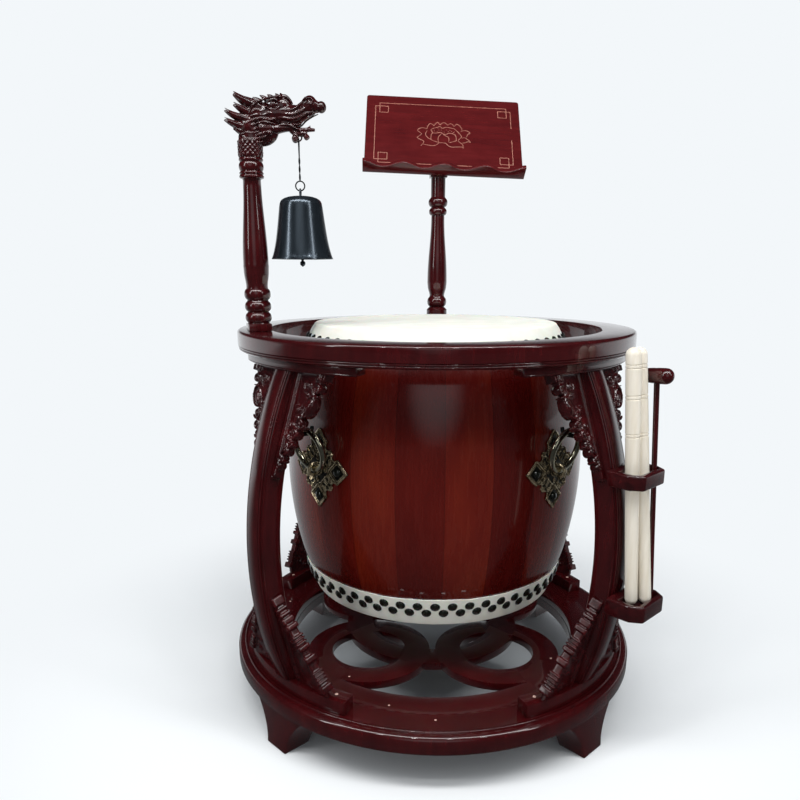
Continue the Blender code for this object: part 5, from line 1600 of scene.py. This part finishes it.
mallet_place = leaning(0.4908, 0.0300, MALLET_END_R, 4.1, 1.0)
shaft_profile = [
    (0.0, 0.3700), (MALLET_END_R, 0.3700), (0.0046, 0.25), (0.0044, 0.12), (MALLET_END_R, 0.0),
    *arc(0.0, 0.0, MALLET_END_R, -20, -70, 3),
]
shaft = turned(shaft_profile + [(0.0, -MALLET_END_R)], 20)
finished(
    "mallet_shaft", shaft, stand_lacquer, "mallet", ["mallet_handle"], at=mallet_place
)
head_profile = [
    (0.0, 0.0310), *arc(0.0, 0.0178, 0.0132, 75, 0, 5), (0.0132, 0.0040), (0.0126, -0.0020),
    (0.0128, -0.0060), (0.0118, -0.0200), (0.0112, -0.0248), (0.0106, -0.0270),
    (0.0104, -0.0285), (0.0092, -0.0303), (0.0060, -0.0309), (0.0, -0.0310),
]
finished(
    "mallet_barrel", turned(head_profile, 32), stand_lacquer, "mallet", ["mallet_head"],
    at=mallet_place @ translation((0, 0, 0.380)) @ rotation(-14) @ UPRIGHT_ALONG_Y,
)

# %% [markdown]
# The holder's two blocks are glued to the outer side of one post. Each is rounded outside and
# then pierced, so a Boolean cuts the pocket last and a bevel by angle breaks its edges.

# %% Holder
def cut_corners(inner, outer, half, out, across):
    low, high = 0.003 - half, 0.003 + half
    return [
        (inner, low), (outer - out, low), (outer, low + across), (outer, high - across),
        (outer - out, high), (inner, high),
    ]


def pierced_block(pocket_r, base_z, height, floor):
    """Block that is cut to the post's outer face, and the cutter of its pocket."""
    near, far = pocket_r - 0.0185, pocket_r + 0.0185
    middle_z = base_z + height / 2
    outline = cut_corners(post_r(middle_z, 0.030), far + 0.010, 0.047, 0.020, 0.014)
    outer = placed(drawn_out(outline, height, 0.0036, 4), translation((0, 0, base_z)))
    normal = (Vector((post_r(middle_z), 0, middle_z)) - bow_centre).normalized()
    cut_flat(outer, bow_centre + normal * (bow_radius + GLUE_GAP), -normal)
    pocket = drawn_out(cut_corners(near, far, 0.037, 0.005, 0.005), 0.1, 0.0)
    start = base_z + floor if floor else base_z - 0.02
    return outer, placed(pocket, translation((0, 0, start)))


for node, sizes in {
    "stick_holder_loop": (0.4650, 0.534, 0.026, 0.0),
    "stick_holder_cup": (0.4835, 0.309, 0.030, 0.018),
}.items():
    holder = combined("DIFFERENCE", pierced_block(*sizes), 0.0010, 60)
    finished(
        "lacquered_" + node, holder, carved_lacquer, "stand", [node],
        at=post_frame["front_right"],
    )
print("sticks, mallet and holder made")

# %% [markdown]
# ## Floor and studio
# The drum stands on a pale floor that fades into a pale backdrop. The room is bright low down
# behind the drum and dim in front of it, as in a studio, so the lacquer stays deep and its edges
# still find something bright to mirror. The floor keeps the shadow, and under the stand it also
# carries painted shade. Light that bounces off the floor takes a dimmer colour than the camera
# sees, which paints shade onto the drum's undersides. In reflections the floor is a glow, dark
# in front of the drum and pale behind it.

# %% Floor and world
BACKDROP = "#f3f7fa"
floor_paint, shader, where = new_finish(
    "matt_floor_paint", {"Roughness": 0.9, "Specular IOR Level": 0.1}
)
path = add_node(floor_paint, "LightPath", {}).outputs
camera_ray, glossy_ray = path["Is Camera Ray"], path["Is Glossy Ray"]
away = add_node(floor_paint, "VectorMath", {"operation": "LENGTH", 0: where}).outputs["Value"]
depth = add_node(floor_paint, "SeparateXYZ", {"Vector": where}).outputs["Y"]
# Painted shade: the floor the camera sees is painted darker under and around the stand.
painted_shade_floor = blend(floor_paint, mapped(floor_paint, away, 0.20, 0.50), "#c2c7ca", "#f2f4f5")
# Bounced light sees a dimmer floor than the camera does; this paints shade onto the drum's
# undersides.
fill(floor_paint, shader, {"Base Color": blend(floor_paint, camera_ray, "#c4c2be", painted_shade_floor)})
mirrored = blend(floor_paint, mapped(floor_paint, depth, -0.6, 2.5), "#434547", BACKDROP)
glow = add_node(floor_paint, "Emission", {
    "Strength": 1.0, "Color": blend(floor_paint, glossy_ray, BACKDROP, mirrored),
}).outputs[0]
shining = calc(floor_paint, "MAXIMUM", mapped(floor_paint, away, 0.42, 1.15), glossy_ray)
direct = calc(floor_paint, "MAXIMUM", camera_ray, glossy_ray)
direct = calc(floor_paint, "MAXIMUM", direct, path["Is Transmission Ray"])
mixed = add_node(floor_paint, "MixShader", {
    0: calc(floor_paint, "MULTIPLY", shining, direct), 1: shader.outputs["BSDF"], 2: glow,
}).outputs[0]
fill(floor_paint, floor_paint.node_tree.nodes["Material Output"], {"Surface": mixed})
floor_bm = bmesh.new()
bmesh.ops.create_grid(floor_bm, x_segments=2, y_segments=2, size=30.0)
floor = in_scene("studio_floor", mesh_of(floor_bm, "studio_floor"))
floor.data.materials.append(floor_paint)

world = bpy.data.worlds.new("studio_room")
bpy.context.scene.world = world
world.use_nodes = True
path = add_node(world, "LightPath", {}).outputs
aim = add_node(world, "TexCoord", {}).outputs["Generated"]
parts = add_node(world, "SeparateXYZ", {"Vector": aim}).outputs
behind = mapped(world, parts["Y"], -0.2, 0.7)
low_down = mapped(world, parts["Z"], 0.03, 0.20, 1.0, 0.0)
room = blend(world, calc(world, "MULTIPLY", behind, low_down), "#26272a", BACKDROP)
toward_patch = add_node(world, "VectorMath", {
    "operation": "DOT_PRODUCT", 0: aim, 1: (0.0, -0.94, 0.342),
}).outputs["Value"]
room = blend(world, mapped(world, toward_patch, 0.91, 1.0), room, "#d9dde0")
lit = blend(world, path["Is Glossy Ray"], "#a7acb0", room)
seen = blend(world, path["Is Camera Ray"], lit, BACKDROP)
fill(world, world.node_tree.nodes["Background"], {"Color": seen, "Strength": 1.0})

# %% [markdown]
# A wide box overhead and two narrow ones at the sides draw the long thin lights on the lacquer.
# Four small round lamps give the bright dots on its domes and beads.

# %% Lamps
def area_lamp(name, place, aim_z, watts, **settings):
    """Area lamp that looks at a height above the middle of the floor."""
    light = bpy.data.lights.new(name, "AREA")
    light.energy = watts
    for key, value in settings.items():
        setattr(light, key, value)
    lamp = in_scene(name, light)
    lamp.location = place
    toward = Vector((0, 0, aim_z)) - lamp.location
    lamp.rotation_euler = toward.to_track_quat("-Z", "Y").to_euler()


for name, place, width, length, watts in (
    ("overhead_box", (0.0, -1.2, 3.0), 4.4, 0.45, 78),
    ("left_strip", (-2.3, -1.6, 1.9), 0.25, 1.6, 13),
    ("right_strip", (2.3, -1.8, 2.2), 0.3, 1.4, 11),
):
    area_lamp(name, place, 0.5, watts, shape="RECTANGLE", size=width, size_y=length)
for i, x in enumerate((-1.2, -0.4, 0.4, 1.2)):
    area_lamp("ceiling_spot_" + str(i), (x, -1.9, 2.9), 0.6, 4.0, shape="DISK", size=0.14)

# %% [markdown]
# ## Camera
# The camera stands 1.5 m in front of the drum, a little above its upper hide, and looks
# slightly down. A small vertical shift frames the whole stand.

# %% Camera
lens = bpy.data.cameras.new("photo_camera")
lens.lens = 32.27
lens.sensor_width = 36.0
lens.shift_y = 0.073
camera = in_scene("photo_camera", lens)
camera.location = (-0.0385, -1.5024, 0.878)
camera.rotation_euler = (math.radians(90 - 14.77), 0.0, math.radians(1.23))
bpy.context.scene.camera = camera
bpy.context.scene.view_settings.view_transform = "Standard"

# %% Finish
bpy.context.view_layer.update()
